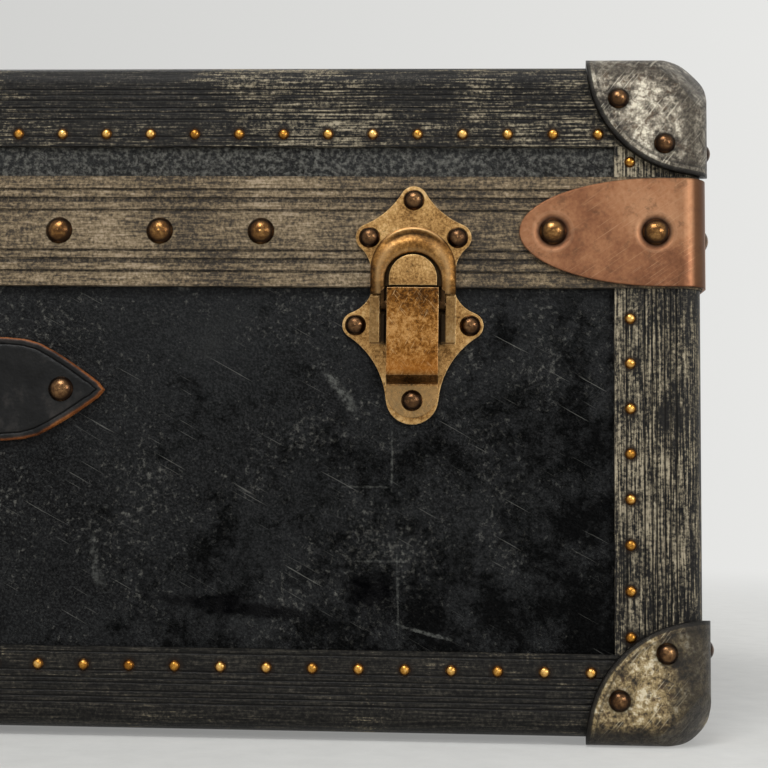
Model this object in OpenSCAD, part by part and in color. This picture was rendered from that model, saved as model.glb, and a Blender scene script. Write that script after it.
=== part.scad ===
// Small travelling trunk: a canvas-covered board box with fibre bindings,
// a fibre band round the lid, steel corners, two brass arch latches, a lock and a leather handle.
// Millimetres. +Z is up, the front faces -Y, and the trunk stands on its four lower corners.

/* [Body] */
// Length over the bindings, left to right
body_w = 642; // [600:1:760]
// Depth over the bindings, front to back
body_d = 400; // [340:1:480]
// Height over the bindings
body_h = 238; // [234:1:290]
// Height of the base, from the underside of its bindings to the opening line
base_h = 156.6; // [150:0.2:160]
// Thickness of the poplar boards
board_t = 8; // [6:0.5:11]
// Thickness of the painted canvas covering
canvas_t = 0.8; // [0.5:0.1:1.2]
// Thickness of the paper lining
lining_t = 0.6; // [0.4:0.1:1]

/* [Rim] */
// Thickness of the wooden strips inside the rim of the base
lip_t = 5; // [4:0.5:8]
// Height that the rim strips stand above the opening line
lip_rise = 9; // [5:0.5:12]
// Depth that the rim strips reach below the opening line
lip_drop = 40; // [20:1:60]
// Free height between the rim strips and the lid lining
lip_room = 1; // [0.5:0.1:2]

/* [Fibre bindings] */
// Width of each leg of the base's horizontal bindings
binding_w = 28.8; // [24:0.2:32]
// Width of each leg of the lid's horizontal bindings
lid_binding_w = 30.4; // [24:0.2:32]
// Width of each leg of the upright corner bindings
post_w = 31; // [26:0.5:34]
// Thickness of the fibre
binding_t = 1.8; // [1.2:0.1:2.2]
// Outer rounding of every edge of the trunk
edge_r = 7; // [6:0.5:9]
// Distance from each corner at which a long binding ends under the steel corner
binding_setback = 17; // [16:0.5:20]
// Spacing of the small brass tacks
tack_pitch = 16.1; // [14:0.1:20]
// Distance of a tack row of the base from the inner edge of its binding
tack_inset = 6.3; // [4:0.1:8]
// Distance of a tack row of the lid from the inner edge of its binding
lid_tack_inset = 4.5; // [4:0.1:8]
// Distance of a tack row on a corner post from its inner edge
post_tack_inset = 5.5; // [4:0.1:8]
// Shift of the tacks along the lid, as a share of their spacing
lid_tack_phase = 0.16; // [0:0.01:0.5]
// Distance of the highest tack of a corner post below the opening line
post_tack_drop = 10.7; // [8:0.1:14]
// Radius of a tack head
tack_r = 2; // [1.6:0.1:2.4]
// Height of a tack head
tack_h = 1.2; // [0.8:0.1:1.6]

/* [Band and clamps] */
// Width of the fibre band round the foot of the lid
band_w = 39.8; // [36:0.2:42]
// Thickness of the band
band_t = 2.6; // [2:0.1:3]
// Depth of the grooves along the band
groove_depth = 0.5; // [0.2:0.1:0.8]
// Spacing of the domed nails on the band
nail_pitch = 36.5; // [32:0.5:42]
// Radius of the domed nails on the band and clamps
nail_r = 4.85; // [4:0.05:5.2]
// Height of the domed nails
nail_h = 2.9; // [2:0.1:3.2]
// Width of the copper clamps at the corners of the band
clamp_w = 38.6; // [34:0.2:39]
// Thickness of the copper
clamp_t = 1.2; // [0.8:0.1:1.6]
// Reach of a clamp from the side of the trunk to its rounded tip
clamp_reach = 64.7; // [58:0.1:72]
// Length of the rounded part of a clamp
clamp_nose = 50; // [40:1:54]
// Distance of the outer clamp nail from the side of the trunk
clamp_nail_a = 16.7; // [15:0.1:20]
// Distance of the inner clamp nail from the side of the trunk
clamp_nail_b = 52.8; // [45:0.1:55]

/* [Steel corners] */
// Thickness of the steel corners
cap_t = 2.8; // [1.2:0.1:3]
// Radius of the steel corners, from the corner of the bindings
cap_reach = 41; // [40:0.5:46]
// Distance of the far rivet of a pair from the corner
cap_rivet_a = 29.8; // [28:0.1:32]
// Distance of the near rivet of a pair from the corner
cap_rivet_b = 13.6; // [12:0.1:15]
// Distance from the corner to the middle of the ball that blunts it
ball_c = 30; // [28:0.5:32]
// How far the ball cuts in from the corner of the bindings, along the diagonal
ball_cut = 10.25; // [8:0.25:12]

/* [Rivets] */
// Radius of the rivet heads on corners, latches, lock and hinges
rivet_r = 3.8; // [3:0.1:4.2]
// Height of those heads
rivet_h = 2.5; // [1.8:0.1:3]
// Radius of the rivet shanks
shank_r = 1.5; // [1.2:0.1:1.8]
// Depth that rivets and nails bite into the boards
bite = 5; // [4:0.5:5.5]
// Radial clearance of a rivet in a metal plate
rivet_clear = 0.1; // [0.05:0.05:0.2]

/* [Latches] */
// Distance of each latch from the side of the trunk
latch_x = 102.1; // [98:0.1:116]
// Thickness of the brass plates
plate_t = 1.5; // [1:0.1:1.8]
// Height of the upper side rivets above the opening line
catch_side_z = 17.5; // [17:0.1:18.5]
// Sideways distance of the upper side rivets
catch_side_x = 15.65; // [15.6:0.05:17]
// Height of the top rivet above the opening line
catch_top_z = 31; // [30:0.1:33]
// Radius of the plate's lobes round the upper rivets
lobe_r = 4.9; // [4.6:0.1:5.4]
// Half width of the half-moon catch
moon_r = 8.45; // [7.5:0.05:8.7]
// Height of the half-moon catch above the opening line
moon_top = 10.9; // [9.5:0.1:10.9]
// Height of the half-moon catch above its plate
moon_h = 3.2; // [2.6:0.1:3.2]
// Half width of the arch outside
arch_out_r = 15.1; // [14.5:0.1:15.3]
// Half width of the arch inside
arch_in_r = 10; // [9.8:0.05:10.4]
// Height of the arch's outer top above the opening line
arch_top = 20.9; // [20:0.1:21.2]
// Height of the arch's inner top above the opening line
arch_in_top = 11.7; // [11.7:0.1:12.5]
// Depth of the arms' lower ends below the opening line
arm_drop = 2.9; // [2.6:0.1:3]
// Thickness of the arch, front to back
arch_t = 3.7; // [3:0.1:4]
// Depth of the arch's pin below the opening line
pivot_drop = 6.6; // [6.5:0.1:7]
// Radius of the latch pin
pin_r = 1; // [0.8:0.05:1.1]
// Radius of the arch's barrel round the pin
barrel_r = 2; // [1.8:0.05:2.1]
// Radial clearance of moving barrels on their pins
run_clear = 0.06; // [0.02:0.01:0.09]
// Radial clearance of a pin in the ears that hold it
fit_clear = 0.02; // [0.01:0.01:0.04]
// Clearance between pieces that swing past each other
swing_clear = 0.3; // [0.25:0.05:0.4]
// Width of each ear of the lower plate
ear_w = 3.4; // [3:0.1:3.6]
// Depth of the ears' lower ends below the opening line
ear_drop = 20.2; // [18:0.1:22]
// Half width of the leaf spring
spring_half = 9.1; // [8:0.1:9.4]
// Thickness of the leaf spring
spring_t = 1.2; // [0.8:0.1:1.4]
// Depth of the spring's bend below the opening line
spring_bend = 31.7; // [29:0.1:32]
// Sideways distance of the lower side rivets
low_side_x = 20.35; // [20:0.05:22]
// Depth of the lower side rivets below the opening line
low_side_z = 13.6; // [12:0.1:15]
// Depth of the bottom rivet below the opening line
low_rivet_z = 40.4; // [39.5:0.1:42]
// Depth of the middle of the bottom lobe below the opening line
low_lobe_z = 39.5; // [39:0.1:41]
// Radius of the bottom lobe
low_lobe_r = 9.3; // [8.8:0.1:10]

/* [Lock] */
// Half width of the lock plates
lock_half = 22; // [20:0.5:24]
// Height of the upper lock plate above the opening line
lock_top = 27; // [25:0.5:30]
// Depth of the lower lock plate below the opening line
lock_drop = 53; // [51:0.5:54]
// Depth of the upper pair of lock rivets below the opening line
lock_rivet_top = 9; // [8:0.5:12]
// Depth of the lower pair of lock rivets below the opening line
lock_rivet_low = 34; // [28:0.5:36]
// Half width of the lock case
case_half = 15; // [14:0.5:16]
// Depth of the lock case, front to back
case_h = 6; // [5.5:0.1:6.5]
// Thickness of the case's walls
case_wall = 1.2; // [1:0.1:1.4]
// Half width of the hasp
hasp_half = 9; // [8:0.5:10]
// Height of the hasp's pin above the opening line
hasp_pin_z = 9; // [8:0.1:10]
// Depth of the hasp's lower end below the opening line
hasp_drop = 29; // [27:0.5:30]
// Travel of the lock bolt
bolt_travel = 5; // [4:0.5:5.5]

/* [Handle] */
// Height of the handle above the underside of the bindings
handle_z = 119.2; // [117:0.1:122]
// Distance of the tabs' pointed tips from the middle
tab_tip = 109.1; // [105:0.1:118]
// Half height of a leather tab
tab_half = 18.5; // [17:0.5:20]
// Length of a tab's pointed part
tab_nose = 36; // [32:0.5:38]
// Thickness of the leather
tab_t = 3; // [2.4:0.1:3.6]
// Distance of the outer tab rivet from the middle
tab_rivet_x = 93.8; // [92:0.1:96]
// Distance of the inner tab rivet from the middle
tab_rivet_in = 62; // [60:0.5:66]
// Radius of the tab rivets
tab_rivet_r = 4.5; // [4:0.1:5]
// Inner end of the steel sockets, from the middle
socket_x = 44; // [43:0.5:46]
// Length of a steel socket along its bore
socket_len = 10; // [8:0.5:11]
// Distance of the handle's axis from the canvas
axis_out = 8.5; // [8.4:0.1:9.5]
// Radius of the handle's steel end pins
trunnion_r = 3; // [2.6:0.1:3.2]
// Drop of the grip below its axis
grip_drop = 36; // [34:0.5:38]
// Radius of the leather grip
grip_r = 9; // [8:0.5:10]
// Half length of the leather grip
grip_half = 27; // [24:0.5:28]
// Clearance between the grip and the front of the trunk
grip_clear = 1; // [0.6:0.1:2]

/* [Hinges] */
// Distance of the outer back hinges from the side of the trunk
hinge_x = 121; // [96:1:126]
// Width of a hinge
hinge_w = 60; // [54:1:64]
// Length of the hinge leaves from the opening line
leaf_len = 34; // [32:0.5:37]
// Radius of the hinge knuckles
knuckle_r = 3.6; // [3.2:0.1:4]
// Radius of the hinge pins
hinge_pin_r = 1.5; // [1.2:0.1:1.8]
// Gap between neighbouring knuckles
knuckle_gap = 0.4; // [0.3:0.05:0.6]

/* [Hidden] */
$fn = 48;
eps = 0.01;
lid_h = body_h - base_h;
hw = body_w / 2;
hd = body_d / 2;
skin = binding_t + canvas_t;
wall = skin + board_t;
canvas_x = hw - binding_t;
canvas_y = hd - binding_t;
base_z = cap_t;
line_z = base_z + base_h;
top_z = base_z + body_h;
ball_r = sqrt(3) * ball_c - ball_cut;
latch_at = hw - latch_x;
hinge_at = hw - hinge_x;
plate_on_band = band_t + plate_t;
// Places along the latch, measured outwards from the canvas
pin_out = plate_t + barrel_r + swing_clear;
spring_out = pin_out + barrel_r + swing_clear;
arch_back = plate_on_band + swing_clear;
arch_face = arch_back + arch_t;
ear_out = pin_out + barrel_r;
ear_in = arch_out_r - ear_w;
tang_w = ear_in - arch_in_r - swing_clear;
// Places along the lock
hasp_barrel_r = 2.4;
hasp_pin_out = plate_on_band + hasp_barrel_r + swing_clear;
hasp_t = 1.6;
case_face = plate_t + case_h;
hasp_back = case_face + swing_clear;
case_top = 4;
case_drop = 45;
staple_z = 20;
staple_half = 5;
staple_w = 3;
bolt_tip = staple_w / 2 + 0.8;
bolt_end = 12;
bolt_half = 1.4;
bolt_back = case_face - 3.9;
bolt_front = case_face - 1.9;
knob_z = 38;
knob_x = bolt_end - bolt_half;
knob_r = 2.4;
key_x = 8;
key_z = 36.5;
cover_pin_z = 33;
small_rivet_r = 2.6;
small_rivet_h = 1.6;
// The handle
arm_x = socket_x - trunnion_r - 1;
socket_r = trunnion_r + 2;
bend_r = trunnion_r + 0.4;
strap_len = tab_rivet_in + 7 - socket_x;
grip_out = grip_r + grip_clear;
// The hinges and the reach of the whole trunk
hinge_out = band_t + knuckle_gap + knuckle_r;
hinge_y = canvas_y + hinge_out;
middle_w = hinge_w * 0.4;
stop_angle = 100;
stop_len = 7;
stop_back = hinge_out - plate_t - 0.2;
stop_reach = stop_len * sin(stop_angle) - stop_back * cos(stop_angle);
front_reach = canvas_y + grip_out + grip_r;
back_reach = hinge_y + stop_reach;
centre_y = (front_reach - back_reach) / 2;

// Placing

// Puts the trunk's middle at the origin, front to back
module trunk() { translate([0, centre_y, 0]) children(); }
// The base is drawn upwards from the underside of its bindings
module base_place() { trunk() translate([0, 0, base_z]) children(); }
// The lid is drawn as a tray and turned over
module lid_place() { trunk() translate([0, 0, top_z]) mirror([0, 0, 1]) children(); }
module both_ends() { for (s = [0, 1]) mirror([s, 0, 0]) children(); }
module both_faces() { for (s = [0, 1]) mirror([0, s, 0]) children(); }
module four_corners() { both_ends() both_faces() children(); }
// Local z points out of the front face, and x runs along it
module on_front(x, z, out) { translate([x, -canvas_y - out, z]) rotate([90, 0, 0]) children(); }
// Local z points out of the right end
module on_end(y, z, out) { translate([canvas_x + out, y, z]) rotate([0, 90, 0]) children(); }
// Latch and lock pieces are drawn about the opening line
module at_line(x) { trunk() translate([x, 0, line_z]) children(); }

// Profiles and small shapes

// Square with one rounded corner at the origin
module corner_square(s, r) {
    translate([r, 0]) square([s - r, s]);
    translate([0, r]) square([s, s - r]);
    translate([r, r]) circle(r);
}
module rounded_rect(w, d, r) {
    square([w - 2 * r, d], center = true);
    square([w, d - 2 * r], center = true);
    for (x = [-1, 1]) for (y = [-1, 1]) translate([x * (w / 2 - r), y * (d / 2 - r)]) circle(r);
}
// Cross-section of a tray with rounded lower edges
module tray_section(w, low, high, r) {
    translate([-w / 2 + r, low]) square([w - 2 * r, high - low]);
    translate([-w / 2, low + r]) square([w, high - low - r]);
    for (x = [-1, 1]) translate([x * (w / 2 - r), low + r]) circle(r);
}
// Solid tray, inset from the outside of the bindings, with blunted corners
module tray(h, inset) {
    w = body_w - 2 * inset;
    d = body_d - 2 * inset;
    r = edge_r - inset;
    difference() {
        intersection() {
            linear_extrude(h) rounded_rect(w, d, r);
            translate([0, hd, 0]) rotate([90, 0, 0]) linear_extrude(body_d) tray_section(w, inset, h, r);
            translate([-hw, 0, 0]) rotate([90, 0, 90]) linear_extrude(body_w) tray_section(d, inset, h, r);
        }
        four_corners() translate([-hw, -hd, 0]) difference() {
            cube(binding_setback + 3);
            translate([ball_c, ball_c, ball_c]) sphere(ball_r - inset);
        }
    }
}
// Section of an angled binding: two legs from a rounded corner
module angle_section(leg, rounding) {
    difference() {
        intersection() {
            corner_square(leg, rounding);
            square(leg);
        }
        translate([binding_t, binding_t]) corner_square(leg, rounding - binding_t);
    }
}
// Dome with a shank below it
module dome_nail(r, h, shank, length) {
    big = (r * r + h * h) / (2 * h);
    rotate_extrude() {
        intersection() {
            translate([0, h - big]) circle(big);
            square([r, h]);
        }
        translate([0, -length]) square([shank, length + eps]);
    }
}
module rivet(through) { dome_nail(rivet_r, rivet_h, shank_r, through + canvas_t + bite); }
module rivet_hole(through) { translate([0, 0, -through - 1]) cylinder(r = shank_r + rivet_clear, h = through + 2); }
module tack() { dome_nail(tack_r, tack_h, 0.6, binding_t + canvas_t + bite); }
module band_nail(through) { dome_nail(nail_r, nail_h, shank_r, through + canvas_t + bite); }

// Points of an arc
function arc(c, r, a, b, n) = [for (i = [0:n]) c + r * [cos(a + (b - a) * i / n), sin(a + (b - a) * i / n)]];
function angle_of(v) = atan2(v[1], v[0]);
// Middle of the circle of radius R that touches the circles (c, r) and (d, q) from outside, on their left
function touching(c, r, d, q, R) =
    let (v = d - c, l = norm(v), a = (pow(r + R, 2) - pow(q + R, 2) + l * l) / (2 * l),
        h = sqrt(pow(r + R, 2) - a * a), u = v / l)
    c + a * u + h * [-u[1], u[0]];
// Hollow arc that joins two lobes
function hollow(c, r, d, q, R) =
    let (m = touching(c, r, d, q, R), a = angle_of(c - m), b = angle_of(d - m), s = (b - a + 540) % 360 - 180)
    arc(m, R, a, a + s, 10);
function mirrored(p) = [for (i = [len(p) - 1:-1:0]) if (abs(p[i][0]) > 0.01) [-p[i][0], p[i][1]]];
module both_sides(p) { polygon(concat(p, mirrored(p))); }

// Wooden box and coverings

module front_zone(h) { translate([-hw, -hd + skin, 0]) cube([body_w, board_t, h]); }
module end_zone(h) { translate([hw - wall, -hd + wall, 0]) cube([board_t, body_d - 2 * wall, h]); }
module front_board(h) { intersection() { tray(h, skin); front_zone(h); } }
module end_boards(h) { both_ends() intersection() { tray(h, skin); end_zone(h); } }
module flat_board() { translate([-hw + wall, -hd + wall, skin]) cube([body_w - 2 * wall, body_d - 2 * wall, board_t]); }
module covering(h) { difference() { tray(h, binding_t); tray(h + 1, skin); } }
module lining(h) {
    difference() {
        translate([-hw + wall, -hd + wall, wall]) cube([body_w - 2 * wall, body_d - 2 * wall, h - wall]);
        translate([-hw + wall + lining_t, -hd + wall + lining_t, wall + lining_t])
            cube([body_w - 2 * (wall + lining_t), body_d - 2 * (wall + lining_t), h]);
    }
}
module base_front_board() { color("#8a6a42") base_place() front_board(base_h); }
module base_back_board() { color("#8a6a42") base_place() mirror([0, 1, 0]) front_board(base_h); }
module base_end_boards() { color("#80623d") base_place() end_boards(base_h); }
module base_floor_board() { color("#80623d") base_place() flat_board(); }
module base_canvas() { color("#202224") base_place() covering(base_h); }
module base_lining() { color("#b7a57f") base_place() lining(base_h); }
module lid_front_board() { color("#8a6a42") lid_place() front_board(lid_h); }
module lid_back_board() { color("#8a6a42") lid_place() mirror([0, 1, 0]) front_board(lid_h); }
module lid_end_boards() { color("#80623d") lid_place() end_boards(lid_h); }
module lid_top_board() { color("#80623d") lid_place() flat_board(); }
module lid_canvas() { color("#202224") lid_place() covering(lid_h); }
module lid_lining() { color("#b7a57f") lid_place() lining(lid_h - lip_rise - lip_room); }
module rim_strips() {
    in_x = hw - wall - lining_t;
    in_y = hd - wall - lining_t;
    rim_h = lip_drop + lip_rise;
    color("#9a7a4e") base_place() translate([0, 0, base_h - lip_drop]) {
        both_faces() translate([-in_x, -in_y, 0]) cube([2 * in_x, lip_t, rim_h]);
        both_ends() translate([in_x - lip_t, -in_y + lip_t, 0]) cube([lip_t, 2 * (in_y - lip_t), rim_h]);
    }
}

// Fibre bindings

module long_binding(leg) {
    run = body_w - 2 * binding_setback;
    translate([-run / 2, -hd, 0]) rotate([90, 0, 90]) linear_extrude(run) angle_section(leg, edge_r);
}
module short_binding(leg) {
    run = body_d - 2 * leg;
    translate([-hw, run / 2, 0]) rotate([90, 0, 0]) linear_extrude(run) angle_section(leg, edge_r);
}
module edge_bindings(leg) {
    both_faces() long_binding(leg);
    both_ends() short_binding(leg);
}
// Posts from one height to another
module corner_posts(low, high) {
    four_corners() translate([-hw, -hd, low]) linear_extrude(high - low) angle_section(post_w, edge_r);
}
module base_edge_bindings() { color("#2a2927") base_place() edge_bindings(binding_w); }
module base_corner_posts() { color("#2a2927") base_place() corner_posts(binding_w, base_h); }
module lid_edge_bindings() { color("#2a2927") lid_place() edge_bindings(lid_binding_w); }
module lid_corner_posts() { color("#2a2927") lid_place() corner_posts(lid_binding_w, lid_h - band_w); }

// Small brass tacks

// Tack places along a face in a row at a distance from the edge, kept clear of the steel corners
function tack_places(reach, row, phase) =
    let (n = ceil(reach / tack_pitch), limit = reach - sqrt(cap_reach * cap_reach - row * row) - tack_r)
    [for (i = [-n:n]) if (abs((i + 0.5 + phase) * tack_pitch) < limit) (i + 0.5 + phase) * tack_pitch];
module wall_tacks(row, phase) {
    both_faces() for (x = tack_places(hw, row, phase)) on_front(x, row, binding_t) tack();
    both_ends() for (y = tack_places(hd, row, 0)) on_end(y, row, binding_t) tack();
}
module flat_tacks(row, phase) {
    both_faces() for (x = tack_places(hw, row, phase)) translate([x, -hd + row, 0]) mirror([0, 0, 1]) tack();
    both_ends() for (y = tack_places(hd, row, 0)) translate([-hw + row, y, 0]) mirror([0, 0, 1]) tack();
}
module post_tacks(heights) {
    in = post_w - post_tack_inset;
    for (z = heights) four_corners() {
        on_front(-hw + in, z, binding_t) tack();
        mirror([1, 0, 0]) on_end(-hd + in, z, binding_t) tack();
    }
}
module base_tacks() {
    top = base_h - post_tack_drop;
    in = post_w - post_tack_inset;
    low = sqrt(pow(cap_reach + tack_r + 0.1, 2) - in * in);
    n = round((top - low) / tack_pitch);
    color("#c98f3a") base_place() {
        wall_tacks(binding_w - tack_inset, 0);
        post_tacks([for (i = [0:n]) low + i * (top - low) / n]);
    }
}
module lid_tacks() {
    color("#c98f3a") lid_place() {
        wall_tacks(lid_binding_w - lid_tack_inset, lid_tack_phase);
        flat_tacks(lid_binding_w - lid_tack_inset, lid_tack_phase);
        post_tacks([(lid_binding_w + lid_h - band_w) / 2]);
    }
}

// Steel corners, drawn at a corner of the bindings with the trunk on the positive side

module corner_block(grow, reach) {
    r = edge_r + grow;
    s = reach + grow;
    intersection() {
        translate([-grow, -grow, -grow]) linear_extrude(s) corner_square(s, r);
        translate([-grow, -grow, -grow]) rotate([90, 0, 90]) linear_extrude(s) corner_square(s, r);
        translate([-grow, s - grow, -grow]) rotate([90, 0, 0]) linear_extrude(s) corner_square(s, r);
        translate([ball_c, ball_c, ball_c]) sphere(ball_r + grow);
    }
}
module at_cap_rivets() {
    for (p = [[cap_rivet_a, cap_rivet_b], [cap_rivet_b, cap_rivet_a]]) {
        translate([p[0], -cap_t, p[1]]) rotate([90, 0, 0]) children();
        translate([-cap_t, p[0], p[1]]) rotate([0, -90, 0]) children();
    }
}
module steel_corner() {
    difference() {
        intersection() {
            difference() {
                corner_block(cap_t, cap_reach + 2);
                corner_block(0, cap_reach + 4);
            }
            sphere(cap_reach);
        }
        at_cap_rivets() rivet_hole(cap_t);
    }
}
module all_steel_corners() { four_corners() translate([-hw, -hd, 0]) steel_corner(); }
module all_corner_rivets() { four_corners() translate([-hw, -hd, 0]) at_cap_rivets() rivet(cap_t + binding_t); }
module base_steel_corners() { color("#8c7a5c") base_place() all_steel_corners(); }
module base_corner_rivets() { color("#7a5230") base_place() all_corner_rivets(); }
module lid_steel_corners() { color("#7c7468") lid_place() all_steel_corners(); }
module lid_corner_rivets() { color("#7a5230") lid_place() all_corner_rivets(); }

// Band, its nails and the copper clamps; drawn upwards from the opening line

module ring(grow) { rounded_rect(2 * (canvas_x + grow), 2 * (canvas_y + grow), edge_r - binding_t + grow); }
module lid_band() {
    // Middle height and half width of each groove, as shares of the band's width
    grooves = [[0.133, 0.010], [0.231, 0.022], [0.322, 0.010], [0.688, 0.010], [0.786, 0.022], [0.879, 0.010]];
    color("#94835f") at_line(0) difference() {
        linear_extrude(band_w) ring(band_t);
        translate([0, 0, -1]) linear_extrude(band_w + 2) ring(0);
        for (g = grooves) translate([0, 0, (g[0] - g[1]) * band_w]) linear_extrude(2 * g[1] * band_w) difference() {
            ring(band_t + 1);
            ring(band_t - groove_depth);
        }
    }
}
module clamp_outline(side) {
    mid = band_w / 2;
    start = side - clamp_reach;
    nose = [for (i = [0:32]) let (a = 90 + 180 * i / 32) [start + clamp_nose * (1 + cos(a)), mid + clamp_w / 2 * sin(a)]];
    polygon(concat(nose, [[side + 10, mid - clamp_w / 2], [side + 10, mid + clamp_w / 2]]));
}
module at_clamp_nails() {
    for (d = [clamp_nail_a, clamp_nail_b]) {
        on_front(hw - d, band_w / 2, band_t + clamp_t) children();
        on_end(-hd + d, band_w / 2, band_t + clamp_t) children();
    }
}
module band_clamps() {
    color("#a06d4c") at_line(0) difference() {
        intersection() {
            difference() {
                linear_extrude(band_w) ring(band_t + clamp_t);
                translate([0, 0, -1]) linear_extrude(band_w + 2) ring(band_t);
            }
            four_corners() {
                translate([0, -hd + edge_r, 0]) rotate([90, 0, 0]) linear_extrude(edge_r + 10) clamp_outline(hw);
                translate([hw - edge_r, 0, 0]) mirror([0, 1, 0]) rotate([90, 0, 90])
                    linear_extrude(edge_r + 10) clamp_outline(hd);
            }
        }
        four_corners() at_clamp_nails() rivet_hole(clamp_t);
    }
}
module clamp_nails() { color("#6e4526") at_line(0) four_corners() at_clamp_nails() band_nail(clamp_t + band_t); }
module band_nails() {
    // The rows run from the lock or the middle hinge to the latches, the outer hinges and the clamps
    front_n = floor((latch_at - low_side_x - 2 * nail_r) / nail_pitch - 0.5);
    back_n = floor((hinge_at - hinge_w / 2 - nail_r) / nail_pitch - 0.5);
    side_n = floor((hd - clamp_reach - nail_r) / nail_pitch - 0.5);
    front = [for (i = [1:front_n]) (i + 0.5) * nail_pitch];
    back = [for (i = [1:back_n]) (i + 0.5) * nail_pitch];
    color("#7a5a30") at_line(0) both_ends() {
        for (x = front) on_front(x, band_w / 2, band_t) band_nail(band_t);
        for (x = back) mirror([0, 1, 0]) on_front(x, band_w / 2, band_t) band_nail(band_t);
        for (i = [0:side_n]) both_faces() on_end((i + 0.5) * nail_pitch, band_w / 2, band_t) band_nail(band_t);
    }
}

// Latches: the catch plate is on the lid, and the rest is on the base

catch_top = [0, catch_top_z];
catch_side = [catch_side_x, catch_side_z];
low_side = [low_side_x, -low_side_z];
low_end = [0, -low_lobe_z];
function catch_outline() =
    let (foot = [arch_out_r - lobe_r, 2],
        upper = hollow(catch_top, lobe_r, catch_side, lobe_r, 28),
        lower = hollow(catch_side, lobe_r, foot, lobe_r, 12),
        a = angle_of(upper[0] - catch_top), b = angle_of(upper[10] - catch_side),
        c = angle_of(lower[0] - catch_side))
    concat(arc(catch_top, lobe_r, 90, a, 8), upper, arc(catch_side, lobe_r, b, c, 10), lower, [[arch_out_r, 0]]);
function lower_outline() =
    let (head = [arch_out_r - lobe_r - 0.2, -3], side_r = lobe_r - 0.2,
        upper = hollow(head, lobe_r, low_side, side_r, 12),
        lower = hollow(low_side, side_r, low_end, low_lobe_r, 30),
        a = angle_of(upper[0] - head), b = angle_of(upper[10] - low_side),
        c = angle_of(lower[0] - low_side), d = angle_of(lower[10] - low_end))
    concat([[head[0], -swing_clear]], arc(head, lobe_r, 30, a, 4), upper, arc(low_side, side_r, b, c, 10), lower,
        arc(low_end, low_lobe_r, d, -90, 8));
module at_catch_rivets() {
    for (p = [[0, catch_top_z], [catch_side_x, catch_side_z], [-catch_side_x, catch_side_z]])
        on_front(p[0], p[1], plate_on_band) children();
}
module at_low_rivets() {
    on_front(0, -low_rivet_z, plate_t + spring_t) children();
    for (x = [-low_side_x, low_side_x]) on_front(x, -low_side_z, plate_t) children();
}
module at_latches() { for (x = [-latch_at, latch_at]) at_line(x) children(); }
module latch_catch_plates() {
    color("#9d8654") at_latches() difference() {
        union() {
            on_front(0, 0, band_t) linear_extrude(plate_t) both_sides(catch_outline());
            on_front(0, 0, plate_on_band - eps) linear_extrude(moon_h + eps) intersection() {
                union() {
                    translate([0, moon_top - moon_r]) circle(moon_r);
                    translate([-moon_r, 0]) square([2 * moon_r, moon_top - moon_r]);
                }
                translate([-moon_r, 0]) square([2 * moon_r, moon_top + 1]);
            }
        }
        at_catch_rivets() rivet_hole(plate_t);
    }
}
module latch_catch_rivets() { color("#6b4223") at_latches() at_catch_rivets() rivet(plate_on_band); }
module latch_ear() {
    translate([ear_in, -canvas_y - ear_out, -ear_drop]) cube([ear_w, ear_out - plate_t + eps, ear_drop - pivot_drop + 2.8]);
    // Low step beside the ear, under the arm's tang
    translate([arch_in_r, -canvas_y - plate_t - 2.5, -ear_drop]) cube([ear_w, 2.5 + eps, ear_drop - pivot_drop - 3.4]);
}
module latch_lower_plates() {
    color("#9a8458") at_latches() difference() {
        union() {
            on_front(0, 0, 0) linear_extrude(plate_t) both_sides(lower_outline());
            both_ends() latch_ear();
        }
        translate([-arch_out_r - 1, -canvas_y - pin_out, -pivot_drop]) rotate([0, 90, 0])
            cylinder(r = pin_r + fit_clear, h = 2 * arch_out_r + 2);
        on_front(0, -low_rivet_z, plate_t) rivet_hole(plate_t);
        for (x = [-low_side_x, low_side_x]) on_front(x, -low_side_z, plate_t) rivet_hole(plate_t);
    }
}
module latch_springs() {
    foot = low_rivet_z + 6;
    slope = 3;
    path = [[spring_out, -0.8], [spring_out + spring_t, -0.8], [spring_out + spring_t, -spring_bend],
        [plate_t + spring_t, -spring_bend - slope], [plate_t + spring_t, -foot], [plate_t, -foot],
        [plate_t, -spring_bend - slope + 1], [spring_out, -spring_bend + 1]];
    color("#a5702c") at_latches() difference() {
        intersection() {
            translate([-spring_half, -canvas_y, 0]) rotate([90, 0, 90]) mirror([1, 0, 0])
                linear_extrude(2 * spring_half) polygon(path);
            on_front(0, 0, 0) linear_extrude(spring_out + spring_t + 1) {
                translate([-spring_half, -foot + spring_half]) square([2 * spring_half, foot]);
                translate([0, -foot + spring_half]) circle(spring_half);
            }
        }
        on_front(0, -low_rivet_z, plate_t + spring_t) rivet_hole(spring_t);
    }
}
module latch_pins() {
    color("#6b4223") at_latches() translate([-arch_out_r, -canvas_y - pin_out, -pivot_drop])
        rotate([0, 90, 0]) cylinder(r = pin_r, h = 2 * arch_out_r);
}
module latch_lower_rivets() {
    color("#6b4223") at_latches() {
        on_front(0, -low_rivet_z, plate_t + spring_t) rivet(plate_t + spring_t);
        for (x = [-low_side_x, low_side_x]) on_front(x, -low_side_z, plate_t) rivet(plate_t);
    }
}
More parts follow.
